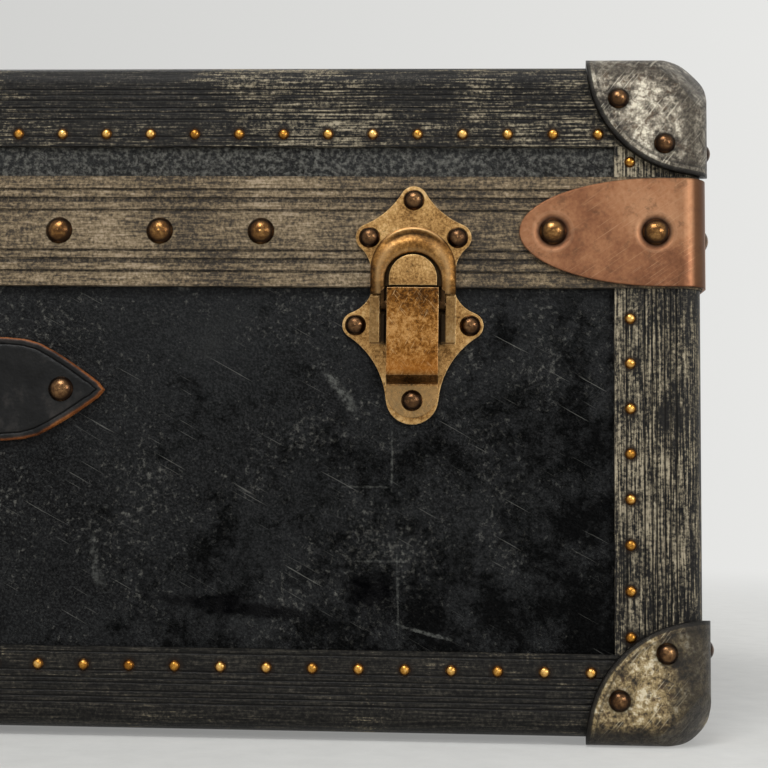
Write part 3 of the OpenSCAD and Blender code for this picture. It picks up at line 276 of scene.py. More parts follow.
def black_fibre(name, along, edge, tack_step, tack_row, phase, wear, ends=False):
    """Grooves and streaks run along one axis. edge names the two axes across the strip: the difference
    between the distances from the outside along them is the way over the strip from the trunk's edge.
    phase moves the tacks' rings along, and wear is how much of the black is gone. With ends, x and y are
    swapped on the strips of the two ends, which run front to back."""
    made, t, shader, place = new_finish(name)
    spot = node(t, "VectorMath ADD", [place, (0, -mid_y, -mid_z)])
    halves = node(t, "CombineXYZ", [half_w, half_d, half_h])
    late = phase
    if ends:
        raw = node(t, "SeparateXYZ", [spot])
        aside = node(t, "Math ABSOLUTE", [raw.outputs[1]])
        is_end = node(t, "Math LESS_THAN", [aside, half_d - level_width])
        swapped = node(t, "CombineXYZ", [raw.outputs[1], raw.outputs[0], raw.outputs[2]])
        spot = node(t, "MixRGB", [is_end, spot, swapped])
        turned = node(t, "CombineXYZ", [half_d, half_w, half_h])
        halves = node(t, "MixRGB", [is_end, halves, turned])
        late = node(t, "MapRange", [is_end, 0.0, 1.0, phase, 0.0])
    folded = node(t, "VectorMath ABSOLUTE", [spot])
    inward = node(t, "VectorMath SUBTRACT", [halves, folded])
    depth = node(t, "SeparateXYZ", [inward])
    over = node(t, "Math SUBTRACT", [depth.outputs[edge[0]], depth.outputs[edge[1]]])
    over = node(t, "Math ABSOLUTE", [over])
    # Grooves, in mm from the edge, between the rounding and the strip's inner edge
    share = node(t, "Math MULTIPLY", [over, 1 / strip_width])
    stops = [(0.0, 1.0)]
    for r in (9.6, 11.6, 13.6, 16.4, 18.0, 20.6, 26.9):
        for d, k in ((-0.45, 1.0), (-0.12, 0.0), (0.12, 0.0), (0.45, 1.0)):
            stops.append(((r + d) / 1000 / strip_width, k))
    ridges = node(t, "ValToRGB", [share], stops=stops)
    fine = [1500.0, 1500.0, 1500.0]
    fine[along] = 60.0
    streak_at = node(t, "VectorMath MULTIPLY", [spot, fine])
    streak = node(t, "TexNoise", {"Vector": streak_at, "Scale": 1.0, "Detail": 4.0, "Roughness": 0.65})
    chips = node(t, "TexNoise", {"Vector": place, "Scale": 760.0, "Detail": 6.0, "Roughness": 0.8})
    worn = node(t, "TexNoise", {"Vector": place, "Scale": 19.0, "Detail": 6.0, "Roughness": 0.7})
    rub = node(t, "Math MULTIPLY_ADD", [streak, 1.5, worn])
    rub = node(t, "Math MULTIPLY_ADD", [chips, 1.3, rub])
    # Beyond about 16 mm from the edge the strip is rubbed a little more
    inner = node(t, "MapRange", [over, 0.0140, 0.0175, 0.0, 0.05], interpolation_type="SMOOTHSTEP")
    rub = node(t, "Math ADD", [rub, inner])
    grey = node(t, "Math MULTIPLY_ADD", [chips, 1.1, streak])
    base = node(t, "ValToRGB", [node(t, "Math MULTIPLY", [grey, 0.5])],
                stops=[(0.42, "#090808"), (0.52, "#1b1a18"), (0.60, "#38352f"), (0.68, "#57524a")])
    how = node(t, "MapRange", [rub, 2.10 - wear, 2.40 - wear])
    khaki = node(t, "ValToRGB", [how],
                 stops=[(0.0, "#35312b"), (0.3, "#544e42"), (0.65, "#7b725f"), (1.0, "#a59a84")])
    cover = node(t, "MapRange", [how, 0.0, 0.3])
    tone = node(t, "MixRGB", [cover, base, khaki])
    cut = node(t, "MapRange", [ridges, 0.0, 1.0, 0.9, 0.0])
    tone = node(t, "MixRGB", [cut, tone, "#080706"])
    # Grime and rust in a ring round each tack
    seat = node(t, "SeparateXYZ", [spot])
    way = node(t, "Math MULTIPLY_ADD", [seat.outputs[along], 1 / tack_step, late])
    way = node(t, "Math FRACT", [way])
    way = node(t, "Math SUBTRACT", [way, 0.5])
    way = node(t, "Math MULTIPLY", [way, tack_step])
    aside = node(t, "Math SUBTRACT", [over, tack_row])
    both = node(t, "CombineXYZ", [way, aside])
    far = node(t, "VectorMath LENGTH", [both]).outputs["Value"]
    far = node(t, "Math MULTIPLY_ADD", [chips, 0.0016, far])
    ring = node(t, "MapRange", [far, 0.0031, 0.0043, 0.85, 0.0])
    tone = node(t, "MixRGB", [ring, tone, "#1d140d"])
    rough = node(t, "MapRange", [how, 0.0, 1.0, 0.36, 0.75])
    bump = node(t, "Bump", {"Height": ridges, "Strength": 0.9, "Distance": 0.0003})
    bump = node(t, "Bump", {"Height": rub, "Strength": 0.35, "Distance": 0.0004, "Normal": bump})
    fill(t, shader, {"Base Color": tone, "Roughness": rough, "Specular IOR Level": 0.14, "Normal": bump})
    return made


lid_fibre = black_fibre("black_fibre_of_the_lid", 0, (1, 2), tack_pitch, lid_row, lid_phase, 0.13, ends=True)
dress(lid_fibre, "lid_edge_bindings")
base_fibre = black_fibre("black_fibre_of_the_base", 0, (1, 2), tack_pitch, base_row, 0.0, -0.05, ends=True)
dress(base_fibre, "base_edge_bindings")
post_fibre = black_fibre("black_fibre_upright", 2, (0, 1), post_pitch, post_row, post_phase, 0.22)
dress(post_fibre, "base_corner_posts", "lid_corner_posts")

# Tan band
# A broad strip of undyed fibre round the foot of the lid, with six pressed grooves, nailed on.
# Matt tan, mottled all over, rubbed pale on the flats and dark with old polish in the grooves.

band_width = 0.0398
tan, t, shader, place = new_finish("tan_vulcanised_fibre")
axes = node(t, "SeparateXYZ", [place])
share = node(t, "MapRange", [axes.outputs[2], line_z, line_z + band_width])
# Polish lies in the grooves, whose middles and half widths are shares of the band's, and along its edges
stops = [(0.0, 0.45), (0.02, 0.0)]
for g, w, k in ((0.133, 0.010, 0.85), (0.231, 0.022, 1.0), (0.322, 0.010, 0.8), (0.688, 0.010, 0.8),
                (0.786, 0.022, 1.0), (0.879, 0.010, 0.85)):
    stops += [(g - w - 0.008, 0.0), (g - w, k), (g + w, k), (g + w + 0.008, 0.0)]
stops += [(0.975, 0.0), (1.0, 0.6)]
polish = node(t, "ValToRGB", [share], stops=stops)
mott = node(t, "TexNoise", {"Vector": place, "Scale": 820.0, "Detail": 6.0, "Roughness": 0.8})
drift = node(t, "TexNoise", {"Vector": place, "Scale": 20.0, "Detail": 5.0, "Roughness": 0.6})
long = node(t, "VectorMath MULTIPLY", [place, (90, 90, 1100)])
streak = node(t, "TexNoise", {"Vector": long, "Scale": 1.0, "Detail": 5.0, "Roughness": 0.7})
mix = node(t, "Math MULTIPLY_ADD", [drift, 0.5, mott])
mix = node(t, "Math MULTIPLY_ADD", [streak, 0.7, mix])
mix = node(t, "MapRange", [mix, 0.90, 1.32])
flat = node(t, "ValToRGB", [mix], stops=[(0.15, "#2b241a"), (0.34, "#4a3f30"), (0.5, "#695a44"),
                                         (0.66, "#7f6e53"), (0.95, "#a4927a")])
patchy = node(t, "MapRange", [mott, 0.38, 0.62, 1.0, 0.35])
dark = node(t, "Math MULTIPLY", [polish, patchy])
tone = node(t, "MixRGB", [dark, flat, "#1a1510"])
bump = node(t, "Bump", {"Height": mix, "Strength": 0.5, "Distance": 0.0004})
fill(t, shader, {"Base Color": tone, "Roughness": 0.6, "Specular IOR Level": 0.3, "Normal": bump})
dress(tan, "lid_band")

# Small tacks
# Round brass tack heads, 4 mm across, driven through the bindings. Their tops are rubbed bright
# gold, and painted shade darkens their sloping rims.


def aged_metal(name, tones, dark, bright, rough, grain=320.0, pits=0.5, rim=0.0005, rim_share=0.6,
               along=None, foot=None):
    """Metal with a patina: its tones drift by noise, pits are darker, and edges are rubbed bright. An edge
    is where the normal rounded over rim metres leaves the face's own. along is the stretch of scratches,
    and foot is a painted shade that colours a dome where the largest of its normal's three shares, 1 on the
    crown, has fallen."""
    made, t, shader, place = new_finish(name)
    drift = node(t, "TexNoise", {"Vector": place, "Scale": grain * 0.18, "Detail": 5.0, "Roughness": 0.6})
    fine = node(t, "TexNoise", {"Vector": place, "Scale": grain * 2.6, "Detail": 5.0, "Roughness": 0.75})
    both = node(t, "Math MULTIPLY_ADD", [fine, 1.1, drift])
    patina = node(t, "MapRange", [both, 0.78, 1.30])
    tone = node(t, "ValToRGB", [patina], stops=tones)
    spots = node(t, "TexNoise", {"Vector": place, "Scale": grain, "Detail": 7.0, "Roughness": 0.8})
    pit = node(t, "MapRange", [spots, 0.56, 0.66, 0.0, pits])
    tone = node(t, "MixRGB", [pit, tone, dark])
    for lean in (0.7, -0.5) if along else ():
        hair = hairlines(t, place, lean, along, (0.60, 0.70), 0.6, detail=3.0, rough=0.6)
        tone = node(t, "MixRGB", [hair, tone, bright])
    round_off = node(t, "Bevel", {"Radius": rim}, samples=4)
    geometry = node(t, "NewGeometry")
    same = node(t, "VectorMath DOT_PRODUCT", [round_off, geometry.outputs["True Normal"]]).outputs["Value"]
    edge = node(t, "MapRange", [same, 0.985, 0.86, 0.0, rim_share])
    rubbed = node(t, "MapRange", [fine, 0.35, 0.55, 0.35, 1.0])
    edge = node(t, "Math MULTIPLY", [edge, rubbed])
    tone = node(t, "MixRGB", [edge, tone, bright])
    # Painted shade: where a dome's normal leans away from the axes, its foot takes the foot colour
    if foot:
        lean = node(t, "VectorMath ABSOLUTE", [geometry.outputs["Normal"]])
        lean = node(t, "SeparateXYZ", [lean])
        most = node(t, "Math MAXIMUM", [lean.outputs[0], lean.outputs[1]])
        most = node(t, "Math MAXIMUM", [most, lean.outputs[2]])
        most = node(t, "Math MULTIPLY_ADD", [spots, 0.16, most])
        low = node(t, "MapRange", [most, 0.80, 1.03, 1.0, 0.0])
        tone = node(t, "MixRGB", [low, tone, foot])
    gloss = node(t, "MapRange", [spots, 0.3, 0.7, rough[0], rough[1]])
    bump = node(t, "Bump", {"Height": spots, "Strength": 0.35, "Distance": 0.0003, "Normal": round_off})
    fill(t, shader, {"Base Color": tone, "Metallic": 0.9, "Roughness": gloss, "Normal": bump})
    return made


# The foot colour is painted shade on the tacks' sloping rims
gold = aged_metal("rubbed_tack_brass", [(0.2, "#94611f"), (0.5, "#cf943c"), (0.8, "#f0c070")],
                  "#4a2c12", "#f0cb7c", (0.22, 0.36), rim=0.0003, foot="#5a3614")
dress(gold, "base_tacks", "lid_tacks")

# Steel corners
# Corners pressed from steel sheet, once lacquered, riveted through the bindings. Satin grey where
# the lacquer has gone, beige and brown with rust below, with painted shade on the bends and along the rims.


# How far a corner reaches from the trunk's corner, and the rivets' distances from its two edges
corner_reach = 0.041
rivet_far, rivet_near = 0.0298, 0.0136


def pressed_corner(name, stops, rust, rust_share, shade, painted_bend_shade_share, bend, flat_bend, outermost):
    """Rubbed steel: lacquered and bare patches come from noise, rust spots from finer noise. shade is a
    painted
    shade on the bends: its width is bend along the upright edges and flat_bend along the level ones, and
    outermost is its share on the very edge. Painted shade darkens the rim too, where the corner's reach
    ends."""
    made, t, shader, place = new_finish(name)
    patch = node(t, "TexNoise", {"Vector": place, "Scale": 95.0, "Detail": 9.0, "Roughness": 0.74})
    speck = node(t, "TexNoise", {"Vector": place, "Scale": 620.0, "Detail": 6.0, "Roughness": 0.8})
    how = node(t, "Math MULTIPLY_ADD", [speck, 0.9, patch])
    how = node(t, "MapRange", [how, 0.80, 1.12])
    tone = node(t, "ValToRGB", [how], stops=stops)
    blot = node(t, "TexNoise", {"Vector": place, "Scale": 270.0, "Detail": 8.0, "Roughness": 0.8})
    spot = node(t, "MapRange", [blot, 0.545, 0.59, 0.0, rust_share])
    tone = node(t, "MixRGB", [spot, tone, rust])
    hair = hairlines(t, place, 0.9, (70, 70, 2200), (0.62, 0.66), 0.6)
    tone = node(t, "MixRGB", [hair, tone, stops[-1][1]])
    centred = node(t, "VectorMath ADD", [place, (0, -mid_y, -mid_z)])
    folded = node(t, "VectorMath ABSOLUTE", [centred])
    inward = node(t, "VectorMath SUBTRACT", [(half_w, half_d, half_h), folded])
    parted = node(t, "SeparateXYZ", [inward])
    # The bend's painted shade: the smaller of the two edges' distances, each divided by its own width
    a_b = node(t, "Math MAXIMUM", [parted.outputs[0], parted.outputs[1]])
    a_b = node(t, "Math MULTIPLY", [a_b, 1 / bend])
    level = node(t, "Math MULTIPLY", [parted.outputs[2], 1 / flat_bend])
    near = node(t, "Math SMOOTH_MIN", [a_b, level, 0.5])
    near = node(t, "Math MULTIPLY_ADD", [blot, 1.3, near])
    near = node(t, "Math MULTIPLY_ADD", [patch, 0.8, near])
    near = node(t, "MapRange", [near, 1.0, 2.4])
    side = node(t, "ValToRGB", [near], stops=[(0.0, outermost), (0.15, outermost), (0.32, 1.0),
                                              (0.62, 0.75), (0.9, 0.0)])
    side = node(t, "Math MULTIPLY", [side, painted_bend_shade_share])
    tone = node(t, "MixRGB", [side, tone, shade])
    # Painted shade along the rim, where the corner's reach ends: dark lines with a paler one between
    far = node(t, "VectorMath LENGTH", [inward]).outputs["Value"]
    rim = node(t, "MapRange", [far, corner_reach - 0.006, corner_reach])
    rim = node(t, "ValToRGB", [rim], stops=[(0.0, 0.0), (0.35, 0.2), (0.52, 0.7), (0.60, 0.1), (0.74, 0.1),
                                            (0.80, 0.9), (1.0, 1.0)])
    tone = node(t, "MixRGB", [rim, tone, "#14110d"])
    # A dark seat round the two rivets on each side
    for pair in ((0, 2), (1, 2)):
        for a, b in ((rivet_far, rivet_near), (rivet_near, rivet_far)):
            off = node(t, "CombineXYZ", [parted.outputs[pair[0]], parted.outputs[pair[1]]])
            off = node(t, "VectorMath SUBTRACT", [off, (a, b, 0)])
            near = node(t, "VectorMath LENGTH", [off]).outputs["Value"]
            near = node(t, "Math MULTIPLY_ADD", [speck, 0.0018, near])
            seat = node(t, "MapRange", [near, 0.0046, 0.0064, 0.7, 0.0])
            tone = node(t, "MixRGB", [seat, tone, "#17120d"])
    gloss = node(t, "MapRange", [how, 0.0, 1.0, 0.48, 0.30])
    round_off = node(t, "Bevel", {"Radius": 0.003}, samples=6)
    bump = node(t, "Bump", {"Height": how, "Strength": 0.4, "Distance": 0.0004, "Normal": round_off})
    fill(t, shader, {"Base Color": tone, "Metallic": 0.55, "Roughness": gloss, "Normal": bump})
    return made


rubbed = [(0.05, "#2f2a22"), (0.3, "#5a5348"), (0.5, "#7f7769"), (0.7, "#9c9382"), (0.95, "#d6ceba")]
rusty = [(0.05, "#2a241b"), (0.3, "#66563c"), (0.5, "#8d7a55"), (0.7, "#a8936a"), (0.95, "#d8ccb0")]
# The colour after the rust's share is the painted shade of the bends
dress(pressed_corner("rubbed_steel_corner", rubbed, "#4a3826", 0.8, "#2e271e", 0.75, 0.0085, 0.0055, 0.4),
      "lid_steel_corners")
dress(pressed_corner("rusty_steel_corner", rusty, "#3c2a1a", 0.85, "#24211d", 0.92, 0.0125, 0.0040, 0.95),
      "base_steel_corners")

# Domed nails and rivets
# Domes of bronzed brass, driven or riveted through the sheet and fibre. Brown and glossy, more
# golden on the big nails of the band, and painted shade makes them nearly black round their feet.

# The foot colour is painted shade round the domes' feet
dome = aged_metal("bronzed_dome", [(0.2, "#573a1f"), (0.5, "#7b552e"), (0.85, "#a57c4a")],
                  "#33200f", "#d0a86a", (0.16, 0.26), grain=300.0, pits=0.45, rim=0.0004, rim_share=0.2,
                  foot="#2c1c0f")
dress(dome, "band_nails", "clamp_nails")
# The foot colour is painted shade round the rivets' feet
rivet = aged_metal("dark_bronzed_rivet", [(0.2, "#46311e"), (0.5, "#66482e"), (0.85, "#8a6845")],
                   "#251810", "#b08a60", (0.18, 0.30), rim=0.0004, rim_share=0.2, foot="#24160c")
dress(rivet, "base_corner_rivets", "lid_corner_rivets", "latch_lower_rivets", "latch_catch_rivets",
      "latch_pins", "lock_rivets", "lock_upper_rivets", "hasp_pin", "handle_rivets")

# Copper clamps
# Sheet copper, bent round the band at each corner and held by two domed nails on either side.
# Warm satin, brown along the rims and scratched; the sheet is dished round the nails.

# Distances of a clamp's nails from the trunk's corner
nail_insets = (0.0167, 0.0528)
copper, t, shader, place = new_finish("worn_sheet_copper")
cloud = node(t, "TexNoise", {"Vector": place, "Scale": 42.0, "Detail": 6.0, "Roughness": 0.6})
fine = node(t, "TexNoise", {"Vector": place, "Scale": 700.0, "Detail": 4.0, "Roughness": 0.7})
how = node(t, "Math MULTIPLY_ADD", [fine, 0.35, cloud])
tone = node(t, "ValToRGB", [how],
            stops=[(0.48, "#6d4631"), (0.60, "#885a3f"), (0.72, "#9c6c4c"), (0.86, "#ad7f5d")])
smut = node(t, "TexNoise", {"Vector": place, "Scale": 190.0, "Detail": 8.0, "Roughness": 0.8})
smut = node(t, "MapRange", [smut, 0.52, 0.64, 0.0, 0.55])
tone = node(t, "MixRGB", [smut, tone, "#59402f"])
hair = hairlines(t, place, 0.6, (60, 60, 2600), (0.60, 0.70), 0.45)
tone = node(t, "MixRGB", [hair, tone, "#c29a78"])
centred = node(t, "VectorMath ADD", [place, (0, -mid_y, -(line_z + band_width / 2))])
folded = node(t, "VectorMath ABSOLUTE", [centred])
parted = node(t, "SeparateXYZ", [folded])
dish = None
for axis, half in ((0, half_w), (1, half_d)):
    for inset in nail_insets:
        off = node(t, "Math SUBTRACT", [parted.outputs[axis], half - inset])
        off = node(t, "CombineXYZ", [off, parted.outputs[2]])
        far = node(t, "VectorMath LENGTH", [off]).outputs["Value"]
        dish = far if dish is None else node(t, "Math MINIMUM", [dish, far])
ring = node(t, "MapRange", [dish, 0.0050, 0.0064, 0.9, 0.0])
tone = node(t, "MixRGB", [ring, tone, "#2e1c12"])
halo = node(t, "Math COMPARE", [dish, 0.0070, 0.0006])
halo = node(t, "MapRange", [halo, 0.0, 1.0, 0.0, 0.12])
tone = node(t, "MixRGB", [halo, tone, "#c79f7c"])
# Painted shade: the bend at the trunk's corner is brown, and a little brown lies beside it
side = node(t, "Math SUBTRACT", [parted.outputs[0], half_w])
other = node(t, "Math SUBTRACT", [parted.outputs[1], half_d])
turned = node(t, "Math MINIMUM", [side, other])
turned = node(t, "MapRange", [turned, -0.012, 0.003])
turned = node(t, "ValToRGB", [turned],
              stops=[(0.0, 0.0), (0.25, 0.15), (0.45, 0.0), (0.62, 0.85), (0.92, 0.85), (0.97, 0.0)])
tone = node(t, "MixRGB", [turned, tone, "#51341f"])
round_off = node(t, "Bevel", {"Radius": 0.0009}, samples=4)
flat = node(t, "NewGeometry").outputs["True Normal"]
same = node(t, "VectorMath DOT_PRODUCT", [round_off, flat]).outputs["Value"]
edge = node(t, "MapRange", [same, 0.99, 0.85, 0.0, 0.65])
tone = node(t, "MixRGB", [edge, tone, "#6a4229"])
gloss = node(t, "MapRange", [cloud, 0.3, 0.7, 0.34, 0.5])
bowl = node(t, "MapRange", [dish, 0.0048, 0.0075], interpolation_type="SMOOTHSTEP")
bump = node(t, "Bump", {"Height": bowl, "Strength": 0.6, "Distance": 0.0007, "Normal": round_off})
bump = node(t, "Bump", {"Height": how, "Strength": 0.2, "Distance": 0.0004, "Normal": bump})
fill(t, shader, {"Base Color": tone, "Metallic": 0.85, "Roughness": gloss, "Normal": bump})
dress(copper, "band_clamps")

# Latch plates
# Brass plates stamped from sheet and riveted on: the catch plate with a half-moon on the lid, and
# the lower plate with two ears for the arch's pin. The lock's plates are of the same brass: olive
# gold with brown speckle, rubbed bright along the edges.

# Half the arch's width, and the height of the half-moon's middle over the opening line
arch_half_width, moon_rise = 0.0151, 0.00245
latch_x = max(abs(v[0]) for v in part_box("right_latch_arch")) - arch_half_width


def speckled_brass(name):
    """Olive gold with deep speckle and bright edges."""
    return aged_metal(name, [(0.1, "#6b4b26"), (0.4, "#a67d4a"), (0.62, "#c2985e"), (0.95, "#e0bb84")],
                      "#3f2a14", "#e8c890", (0.28, 0.46), grain=420.0, pits=0.75, rim=0.0006, rim_share=0.8)


dress(speckled_brass("speckled_plate_brass"), "lock_plate", "lock_case", "lock_upper_plate", "lock_hasp",
      "keyhole_cover")


def plate_with_grime_and_shade(name, inside):
    """The same brass with grime and painted shade where the arch and the spring stand over it. inside
    gives shares and colours from the tree, the distance from the latch's middle line and the point's axes."""
    made = speckled_brass(name)
    tree = made.node_tree
    shader = tree.nodes["Principled BSDF"]
    spot = node(tree, "SeparateXYZ", [tree.nodes["Texture Coordinate"].outputs["Object"]])
    off = node(tree, "Math ABSOLUTE", [spot.outputs[0]])
    off = node(tree, "Math SUBTRACT", [off, latch_x])
    off = node(tree, "Math ABSOLUTE", [off])
    tone = shader.inputs["Base Color"].links[0].from_socket
    for share, colour in inside(tree, off, spot):
        tone = node(tree, "MixRGB", [share, tone, colour])
    fill(tree, shader, {"Base Color": tone})
    return made


def under_the_arch(tree, off, spot):
    """Painted shade and grime in a ring round the half-moon: nearer than 10.4 mm to its middle, and deeper
    than its face.
    """
    up = node(tree, "Math SUBTRACT", [spot.outputs[2], line_z + moon_rise])
    up = node(tree, "Math MAXIMUM", [up, 0.0])
    both = node(tree, "CombineXYZ", [off, up])
    far = node(tree, "VectorMath LENGTH", [both]).outputs["Value"]
    near = node(tree, "MapRange", [far, 0.0102, 0.0108, 0.93, 0.0])
    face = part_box("latch_catch_plates")[0][1]
    deep = node(tree, "MapRange", [spot.outputs[1], face + 0.0003, face + 0.0010])
    return [(node(tree, "Math MULTIPLY", [near, deep]), "#0c0806")]


def beside_the_spring(tree, off, spot):
    """Painted shadow and grime, black between the ears, nearer than about 11.6 mm to the middle line and
    above their feet. The ears, which stand more than 2 mm proud of the canvas, are brown."""
    near = node(tree, "MapRange", [off, 0.0114, 0.0117, 0.93, 0.0])
    above = node(tree, "MapRange", [spot.outputs[2], line_z - 0.0215, line_z - 0.0195])
    proud = node(tree, "MapRange", [spot.outputs[1], canvas_front - 0.0020, canvas_front - 0.0026, 0.0, 0.6])
    return [(proud, "#5f482b"), (node(tree, "Math MULTIPLY", [near, above]), "#0f0a07")]


dress(plate_with_grime_and_shade("grimed_and_shaded_catch_plate", under_the_arch), "latch_catch_plates")
dress(plate_with_grime_and_shade("grimed_and_shaded_lower_plate", beside_the_spring), "latch_lower_plates")

# Latch springs
# A strip of phosphor bronze that is held by the lower plate's rivet and presses on the arch's
# barrel. Orange and polished by thumbs, with slanting scratches, a painted highlight above the bend and
# painted shade in it.

bronze = aged_metal("polished_spring_bronze",
                    [(0.15, "#3c230c"), (0.4, "#734819"), (0.6, "#9c6a30"), (0.9, "#cf9c5e")],
                    "#2f1c0b", "#e6bd86", (0.22, 0.38), grain=330.0, pits=0.75, rim_share=0.8,
                    along=(2600, 2600, 190))
t = bronze.node_tree
shader = t.nodes["Principled BSDF"]
place = t.nodes["Texture Coordinate"].outputs["Object"]
axes = node(t, "SeparateXYZ", [place])
# Painted highlight in orange just above the bend, painted shade in dark brown in it, and dull and pale on
# the foot
height = node(t, "MapRange", [axes.outputs[2], line_z - 0.0420, line_z])
was = shader.inputs["Base Color"].links[0].from_socket
painted_bend_highlight = node(t, "ValToRGB", [height], stops=[(0.0, 0.0), (0.22, 0.0), (0.29, 0.6), (0.45, 0.15), (1.0, 0.0)])
tone = node(t, "MixRGB", [painted_bend_highlight, was, "#a86420"])
low = node(t, "ValToRGB", [height], stops=[(0.0, 0.0), (0.165, 0.0), (0.18, 0.55), (0.20, 0.8), (0.235, 0.6),
                                           (0.262, 0.25), (0.30, 0.0), (1.0, 0.0)])
tone = node(t, "MixRGB", [low, tone, "#3c2a16"])
foot_share = node(t, "MapRange", [height, 0.175, 0.155, 0.0, 0.65])
tone = node(t, "MixRGB", [foot_share, tone, "#a88a5e"])
fill(t, shader, {"Base Color": tone})
dress(bronze, "latch_springs")

# Latch arches
# A brass casting shaped like a horseshoe, which turns on a pin between the lower plate's ears and
# snaps over the half-moon. Its top is hollowed for the thumb and ends in a lip; its arms slope down
# to the ears. Brown gold, with painted highlights on the high places and painted shade in the low ones.


# The pin's distance in front of the canvas and below the opening line
pin_out, pin_drop = 0.0038, 0.0066


def grid_mesh(name, grid, ring=False, ends=False):
    """Mesh of a grid of points, rows by columns. ring joins the last column to the first, and ends closes
    the first and last rows with a fan about their middle."""
    rows, cols = grid.shape[:2]
    at = np.arange(rows * cols).reshape(rows, cols)
    a, b = (at, np.roll(at, -1, 1)) if ring else (at[:, :-1], at[:, 1:])
    faces = np.stack([a[:-1], b[:-1], b[1:], a[1:]], -1).reshape(-1, 4).tolist()
    points = grid.reshape(-1, 3)
    if ends:
        points = np.vstack([points, grid[0].mean(0), grid[-1].mean(0)])
        n = rows * cols
        nxt = np.roll(at, -1, 1)
        faces += np.stack([nxt[0], at[0], np.full(cols, n)], -1).tolist()
        faces += np.stack([at[-1], nxt[-1], np.full(cols, n + 1)], -1).tolist()
    data = bpy.data.meshes.new(name)
    data.from_pydata(points.tolist(), [], faces)
    return data


def placed(name, data):
    """An object for this mesh, lamp or camera, in the scene."""
    thing = bpy.data.objects.new(name, data)
    bpy.context.scene.collection.objects.link(thing)
    return thing


def joined(name, meshes, made, smooth=35):
    """One object of several closed meshes, merged and facing outwards, smooth below an angle in degrees."""
    whole = bmesh.new()
    for m in meshes:
        one = bmesh.new()
        one.from_mesh(m)
        bmesh.ops.remove_doubles(one, verts=one.verts, dist=1e-6)
        bmesh.ops.recalc_face_normals(one, faces=one.faces)
        part = bpy.data.meshes.new("part")
        one.to_mesh(part)
        one.free()
        whole.from_mesh(part)
    data = bpy.data.meshes.new(name)
    for f in whole.faces:
        f.smooth = True
    for e in whole.edges:
        if len(e.link_faces) == 2 and e.calc_face_angle(0) > math.radians(smooth):
            e.smooth = False
    whole.to_mesh(data)
    whole.free()
    data.materials.append(made)
    return placed(name, data)


def rod(a, b, radius, sides=24):
    """Closed cylinder from a to b: two rings at right angles to the line between them."""
    a, b = np.array(a, float), np.array(b, float)
    d = (b - a) / np.linalg.norm(b - a)
    u = np.cross(d, (0.3, 0.5, 0.81))
    u /= np.linalg.norm(u)
    v = np.cross(d, u)
    w = np.linspace(0, 2 * math.pi, sides, endpoint=False)[:, None]
    circle = radius * (np.cos(w) * u + np.sin(w) * v)
    return grid_mesh("rod", np.stack([a + circle, b + circle]), ring=True, ends=True)


arch_gold = aged_metal("cast_arch_brass",
                       [(0.1, "#402810"), (0.4, "#6a4720"), (0.7, "#8a602e"), (0.95, "#b0834a")],
                       "#3a2410", "#dab070", (0.34, 0.52), grain=330.0, pits=0.7, rim=0.0006, rim_share=0.3)
t = arch_gold.node_tree
shader = t.nodes["Principled BSDF"]
# Painted shade lies in the hollow under the lip, on the arms' sloped ends and on the barrel and tangs, and
# painted highlights lie on the ridges
relief = node(t, "SeparateXYZ", [node(t, "UVMap", uv_map="relief")])
was = shader.inputs["Base Color"].links[0].from_socket
tone = node(t, "MixRGB", [relief.outputs[0], was, "#1d130a"])
tone = node(t, "MixRGB", [relief.outputs[1], tone, "#f0c488"])
fill(t, shader, {"Base Color": tone})


def with_map(data, name, first, second):
    """Keeps two numbers for each point as a UV map: on the arch, its share of painted shade and of painted
    highlight.
    """
    layer = data.uv_layers.new(name=name)
    corner = np.zeros(len(data.loops), np.int32)
    data.loops.foreach_get("vertex_index", corner)
    both = np.stack([first.reshape(-1)[corner], second.reshape(-1)[corner]], -1).astype(np.float32)
    layer.data.foreach_set("uv", both.reshape(-1))
    return data


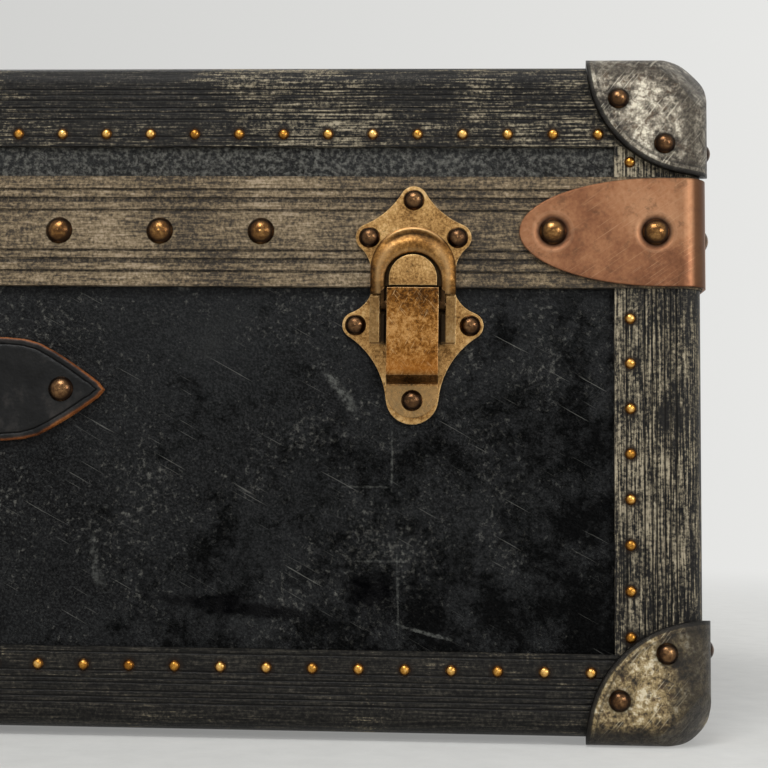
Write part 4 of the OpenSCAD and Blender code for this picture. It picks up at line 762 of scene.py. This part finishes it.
def arch_at(x):
    """The horseshoe: an inner line (a half circle of 10 mm and two legs) and an outer one (15.1 mm and two
    legs) are joined by a rounded-box section. Its face is a low ridge; near the top it rises to a lip along
    the outer line, with a hollow beneath it, and the legs end in a slope."""
    s = np.linspace(-1, 1, 97)
    # The way s along the line is the arc up to 0.72 on either side, and a leg beyond
    bend = np.clip(s / 0.72, -1, 1) * math.pi / 2
    leg = np.clip((np.abs(s) - 0.72) / 0.28, 0, 1)
    inner = np.stack([10.0 * np.sin(bend), 1.7 + 10.0 * np.cos(bend) - leg * 4.6], -1)
    outer = np.stack([15.1 * np.sin(bend), 5.8 + 15.1 * np.cos(bend) - leg * 8.7], -1)
    w = np.linspace(0, 2 * math.pi, 56, endpoint=False)
    # Rounded box: powers of sine and cosine below 1 square the circle up
    across = 0.5 - 0.5 * np.sign(np.cos(w)) * np.abs(np.cos(w)) ** 0.5
    up = 0.5 + 0.5 * np.sign(np.sin(w)) * np.abs(np.sin(w)) ** 0.5
    place = inner[:, None] + (outer - inner)[:, None] * across[None, :, None]
    window = np.clip(1.15 - (np.abs(inner[:, 0]) / 7.2) ** 3, 0, 1)[:, None]
    ridge = 7.7 - 3.4 * (across - 0.42) ** 2
    lip = 0.75 * np.exp(-((across - 0.93) / 0.09) ** 2)
    hollow = 1.15 * np.exp(-((across - 0.70) / 0.12) ** 2)
    slope = np.clip((1.4 - place[..., 1]) / 4.3, 0, 1) * 2.3
    top = np.minimum(ridge[None] + window * (lip - hollow)[None] - slope, 8.1)
    out = 4.4 + (top - 4.4) * up[None]
    xyz = np.stack([x + place[..., 0] / 1000, canvas_front - out / 1000, line_z + place[..., 1] / 1000], -1)
    body = grid_mesh("arch", xyz, ring=True, ends=True)
    facing = (up > 0.75)[None]
    # Painted shade in the hollow under the lip and on the sloped arm ends, painted highlights on the lip and
    # ridges
    painted_arch_shade = 0.85 * window * facing * np.exp(-((across - 0.72) / 0.10) ** 2)[None] + 0.5 * (slope > 1.9)
    painted_arch_highlight = facing * (0.75 * window * np.exp(-((across - 0.94) / 0.06) ** 2)[None]
                      + 0.15 * np.exp(-((across - 0.10) / 0.08) ** 2)[None])
    painted_arch_highlight = painted_arch_highlight + facing * 0.35 * (1 - window) * np.exp(-((across - 0.45) / 0.16) ** 2)[None]
    pad = [0.5, 0.5]
    meshes = [with_map(body, "relief", np.r_[painted_arch_shade.reshape(-1), pad], np.r_[painted_arch_highlight.reshape(-1), 0.0, 0.0])]
    pin_y, pin_z = canvas_front - pin_out, line_z - pin_drop
    rest = [rod((x - 0.0114, pin_y, pin_z), (x + 0.0114, pin_y, pin_z), 0.0020)]
    for side in (-1, 1):
        # Tang: a 1.4 mm plate from the barrel up into the arm
        edge = np.array([(-2.0, 0.0), (-2.0, 5.9), (1.9, 5.9), (2.0, 0.0)]) / 1000
        wall = np.stack([np.stack([np.full(4, x + side * k), pin_y + edge[:, 0], pin_z + edge[:, 1]], -1)
                         for k in (0.01005, 0.0114)])
        rest.append(grid_mesh("tang", wall, ring=True, ends=True))
    # The barrel and the tangs take painted shade all over
    for m in rest:
        meshes.append(with_map(m, "relief", np.full(len(m.vertices), 0.85), np.zeros(len(m.vertices))))
    return meshes


for side in ("left", "right"):
    low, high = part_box(side + "_latch_arch")
    x = (low[0] + high[0]) / 2
    arch = joined(side + "_arch_lever", arch_at(x), arch_gold, smooth=50)
    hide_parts(side + "_latch_arch")
    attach(arch, side + "_latch")

# Lock bolt, handle steel and hinges
# Mild steel: the bolt, sockets, rod and pins are rubbed bright, and the hinge leaves are still
# black from the forge, with brown edges.

steel = aged_metal("rubbed_mild_steel", [(0.15, "#5a5650"), (0.5, "#85817a"), (0.85, "#a29e96")],
                   "#4a3a2c", "#c4c0b8", (0.28, 0.45), pits=0.6, rim_share=0.4)
dress(steel, "lock_bolt", "handle_sockets", "handle_core", "hinge_pins")
iron = aged_metal("blackened_iron", [(0.15, "#2c2a28"), (0.5, "#45423e"), (0.85, "#5e5850")],
                  "#4a3524", "#8a7a66", (0.4, 0.6), pits=0.6, rim_share=0.4)
dress(iron, "hinge_lower_leaves", "hinge_upper_leaves", "hinge_lower_rivets", "hinge_upper_rivets")

# Handle tabs
# Two pointed tabs cut from 3 mm black harness leather, riveted to the front. A creased line runs
# along the edge. The cut edge has lost its black and shows tan, most of all at the tip.

tab_leather, t, shader, place = new_finish("black_harness_leather")
grain = node(t, "TexVoronoi", {"Vector": place, "Scale": 900.0})
cloud = node(t, "TexNoise", {"Vector": place, "Scale": 90.0, "Detail": 6.0, "Roughness": 0.65})
tone = node(t, "ValToRGB", [cloud], stops=[(0.38, "#060606"), (0.52, "#121212"), (0.68, "#2e2b29")])
rim_at = node(t, "SeparateXYZ", [node(t, "UVMap", uv_map="edge")])
wobble = node(t, "Math MULTIPLY_ADD", [cloud, -0.14, rim_at.outputs[0]])
wobble = node(t, "Math ADD", [wobble, 0.08])
worn = node(t, "ValToRGB", [wobble], stops=[(0.0, 0.95), (0.035, 0.75), (0.075, 0.1), (0.12, 0.0)])
brown = node(t, "ValToRGB", [cloud], stops=[(0.35, "#55301c"), (0.55, "#8e5228"), (0.75, "#b0703a")])
tone = node(t, "MixRGB", [worn, tone, brown])
crease = node(t, "ValToRGB", [rim_at], stops=[(0.19, 0.0), (0.225, 0.8), (0.26, 0.8), (0.3, 0.0)])
tone = node(t, "MixRGB", [crease, tone, "#0e0d0d"])
bump = node(t, "Bump", {"Height": grain, "Strength": 0.4, "Distance": 0.0002})
bump = node(t, "Bump", {"Height": cloud, "Strength": 0.5, "Distance": 0.0008, "Normal": bump})
fill(t, shader, {"Base Color": tone, "Roughness": 0.45, "Specular IOR Level": 0.22, "Normal": bump})

handle_z = sum(v[2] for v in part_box("handle_tabs")) / 2


def tab(side):
    """Pointed tab: rings shrink from the outline towards the middle. The height is 3 mm, rounded to the cut
    edge by a quarter circle of 1 mm, less a V of 0.5 mm at 2.4 mm from the edge. The UV map holds the
    distance from the edge in cm."""
    nose = np.array([[0, 0], [2.2, 2.7], [7, 6.2], [12.2, 9.8], [18.5, 13.7], [23.6, 16.4], [29, 17.9],
                     [36, 18.5]])
    up = np.stack([109.1 - nose[:, 0], nose[:, 1]], -1)
    back = np.array([[60, 18.5], [48, 18.5], [45.2, 17.3], [44, 14.5], [44, 6], [44, -6], [44, -14.5],
                     [45.2, -17.3], [48, -18.5], [60, -18.5]])
    down = up[:0:-1] * [1, -1]
    line = np.vstack([up, back, down])
    # Evenly spaced points along the closed outline
    loop = np.vstack([line, line[:1]])
    gone = np.r_[0, np.cumsum(np.hypot(*np.diff(loop, axis=0).T))]
    want = np.linspace(0, gone[-1], 160, endpoint=False)
    line = np.stack([np.interp(want, gone, loop[:, k]) for k in (0, 1)], -1)
    middle = np.array([74.0, 0.0])
    ahead = np.roll(line, -1, 0) - np.roll(line, 1, 0)
    normal = np.stack([ahead[:, 1], -ahead[:, 0]], -1) / np.hypot(*ahead.T)[:, None]
    reach = np.abs(((line - middle) * normal).sum(1))
    insets = np.array([0.0, 0.0, 0.15, 0.4, 0.8, 1.2, 1.8, 2.1, 2.4, 2.7, 3.0, 4.0, 6.0, 9.0, 12.0])
    rings, heights, dist = [], [], []
    for i, d in enumerate(insets):
        k = 1 - np.minimum(d / reach, 0.9)
        rings.append(middle + (line - middle) * k[:, None])
        h = 0.0 if i == 0 else 2.0 + math.sqrt(max(0.0, 1 - (1 - min(d, 1.0)) ** 2))
        h -= 0.5 * max(0.0, 1 - abs(d - 2.4) / 0.45)
        heights.append(np.full(160, h) + 0.12 * np.sin(line[:, 0] * 0.21) * (d > 3))
        dist.append(np.full(160, d))
    ring, high = np.array(rings), np.minimum(heights, 3.0)
    across, up, out = side * ring[..., 0] / 1000, ring[..., 1] / 1000, high / 1000
    xyz = np.stack([across, canvas_front - out, handle_z + up], -1)
    data = grid_mesh("tab", xyz, ring=True, ends=True)
    far = np.r_[np.array(dist).reshape(-1), 12.0, 12.0] / 10
    return with_map(data, "edge", far, np.zeros(len(far)))


tabs = joined("leather_tabs", [tab(-1), tab(1)], tab_leather, smooth=60)
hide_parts("handle_tabs")
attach(tabs, "base")

# Handle grip
# Brown bridle leather sewn round a padded core on the steel rod. It swells to the middle, ends in
# turned collars, and is closed by a row of linen stitches underneath.

grip_leather, t, shader, place = new_finish("brown_bridle_leather")
grain = node(t, "TexVoronoi", {"Vector": place, "Scale": 800.0})
cloud = node(t, "TexNoise", {"Vector": place, "Scale": 120.0, "Detail": 6.0, "Roughness": 0.65})
tone = node(t, "ValToRGB", [cloud], stops=[(0.3, "#20150f"), (0.52, "#38241a"), (0.75, "#5b3a26")])
bump = node(t, "Bump", {"Height": grain, "Strength": 0.3, "Distance": 0.0002})
# The grip's middle line in front of the canvas and below the tabs' middle line
grip_out, grip_drop = 0.010, 0.036
grip_y, grip_z = canvas_front - grip_out, handle_z - grip_drop
fill(t, shader, {"Base Color": tone, "Roughness": 0.42, "Normal": bump})


def sewn_grip():
    """Round body about the rod: its radius swells by a cosine from 7.4 mm at the ends to 8.9 mm in the
    middle, with a collar at each end and a ridge where the two edges meet underneath."""
    x = np.r_[-27, -27, -26.6, -25.5, -24.4, -24.0, np.linspace(-23, 23, 40), 24.0, 24.4, 25.5, 26.6, 27, 27]
    r = 7.4 + 1.5 * np.cos(x / 27 * math.pi / 2) ** 0.8
    r = np.where(np.abs(x) > 24.2, 8.1, r)
    r = np.where(np.abs(x) > 26.4, 7.6, r)
    r[[0, -1]] = 3.0
    w = np.linspace(0, 2 * math.pi, 48, endpoint=False)
    keel = 0.9 * np.exp(-((w - 1.5 * math.pi) / 0.16) ** 2)
    radius = np.minimum(r[:, None] + keel[None] * (r > 5)[:, None], 8.95)
    xyz = np.stack([np.repeat(x[:, None], 48, 1), radius * np.cos(w), radius * np.sin(w)], -1) / 1000
    return grid_mesh("grip", xyz + [0, grip_y, grip_z], ring=True, ends=True)


grip = joined("sewn_leather_grip", [sewn_grip()], grip_leather, smooth=60)
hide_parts("handle_grip")
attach(grip, "handle")

thread, t, shader, place = new_finish("waxed_linen_thread")
shade = node(t, "TexNoise", {"Vector": place, "Scale": 2500.0, "Detail": 2.0})
tone = node(t, "ValToRGB", [shade], stops=[(0.3, "#8c7a5a"), (0.7, "#c3b38f")])
fill(t, shader, {"Base Color": tone, "Roughness": 0.7})
# Two rows of stitches 1.6 mm long, 2.4 mm apart, beside the ridge
stitch, low = [], grip_z - 0.00845
for x in (np.arange(19) - 9) * 0.0024:
    for y in (-0.0021, 0.0021):
        a, b = (x - 0.0008, grip_y + y, low), (x + 0.0008, grip_y + y * 0.92, low)
        stitch.append(rod(a, b, 0.00035, sides=8))
seam = joined("grip_stitches", stitch, thread)
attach(seam, "handle")

# Camera, floor and light
# The camera stands where the photograph's stood: almost square to the front, low, and turned to
# the right-hand half. The floor is pale and plain; far away it and the sky are the same tone.

eye = Vector((0.23094, -0.6901, 0.08178))
lens = bpy.data.cameras.new("camera")
lens.lens = 65.625
camera = placed("camera", lens)
turn = (Matrix.Rotation(math.radians(2.5555), 4, "Z") @ Matrix.Rotation(math.radians(4.9906), 4, "X")
        @ Matrix.Rotation(math.radians(-0.7117), 4, "Y") @ Matrix.Rotation(math.radians(90), 4, "X"))
camera.matrix_world = Matrix.Translation(eye) @ turn
lens.clip_start, lens.clip_end = 0.01, 60
bpy.context.scene.camera = camera


def wall(tree, ray):
    """The pale wall's colour in a direction: a little brighter on the right, by the direction's x."""
    across = node(tree, "MapRange", [node(tree, "SeparateXYZ", [ray]), -0.35, 0.35])
    return node(tree, "ValToRGB", [across], stops=[(0.0, "#d0d0ce"), (0.5, "#dededc"), (1.0, "#ececea")])


ground, t, shader, place = new_finish("pale_plaster_floor")
grit = node(t, "TexNoise", {"Vector": place, "Scale": 60.0, "Detail": 8.0, "Roughness": 0.7})
tone = node(t, "ValToRGB", [grit], stops=[(0.3, "#cfcfcb"), (0.7, "#dededa")])
fill(t, shader, {"Base Color": tone, "Roughness": 0.9, "Specular IOR Level": 0.1})
ray = node(t, "VectorMath SUBTRACT", [place, tuple(eye)])
ray = node(t, "VectorMath NORMALIZE", [ray])
glow = node(t, "Emission", {"Color": wall(t, ray)})
rays = node(t, "LightPath")
far = node(t, "VectorMath LENGTH", [place]).outputs["Value"]
share = node(t, "MapRange", [far, 0.35, 1.5, 0.35, 1.0], interpolation_type="SMOOTHSTEP")
seen = node(t, "Math MAXIMUM", [rays.outputs["Is Camera Ray"], rays.outputs["Is Glossy Ray"]])
share = node(t, "Math MULTIPLY", [share, seen])
blend = node(t, "MixShader", [share, shader, glow])
t.links.new(blend.outputs[0], t.nodes["Material Output"].inputs["Surface"])
w = np.linspace(0, 2 * math.pi, 96, endpoint=False)
rings = np.array([0.0001, 0.6, 1.5, 4, 12, 30])
disc = np.stack([rings[:, None] * np.cos(w), rings[:, None] * np.sin(w), np.zeros((6, 96))], -1)
data = grid_mesh("floor", disc, ring=True)
data.materials.append(ground)
placed("floor", data)

world = bpy.data.worlds.new("studio")
bpy.context.scene.world = world
world.use_nodes = True
t = world.node_tree
t.nodes.clear()
rays = node(t, "LightPath")
seen = node(t, "Math MAXIMUM", [rays.outputs["Is Camera Ray"], rays.outputs["Is Glossy Ray"]])
seen = node(t, "Math MAXIMUM", [seen, rays.outputs["Is Transmission Ray"]])
soft = node(t, "Background", {"Color": "#ffffff", "Strength": 0.5})
back = node(t, "Background", {"Color": wall(t, node(t, "TexCoord").outputs["Generated"]), "Strength": 1.0})
both = node(t, "MixShader", [seen, soft, back])
node(t, "OutputWorld", {"Surface": both})


def lamp(name, size, power, at, towards):
    """Square soft light, aimed from one point at another."""
    made = bpy.data.lights.new(name, "AREA")
    made.size, made.energy = size, power
    thing = placed(name, made)
    thing.location = at
    thing.rotation_mode = "QUATERNION"
    thing.rotation_quaternion = (Vector(towards) - Vector(at)).to_track_quat("-Z", "Y")


lamp("key", 0.55, 15, (-0.1, -1.2, 1.45), (0.15, -0.2, 0.1))
lamp("strip", 0.25, 5, (1.25, -1.2, 0.5), (0.3, -0.2, 0.12))
lamp("rim", 1.2, 9, (-0.8, 1.2, 1.4), (0.0, 0.0, 0.1))

bpy.context.scene.view_settings.view_transform = "Standard"
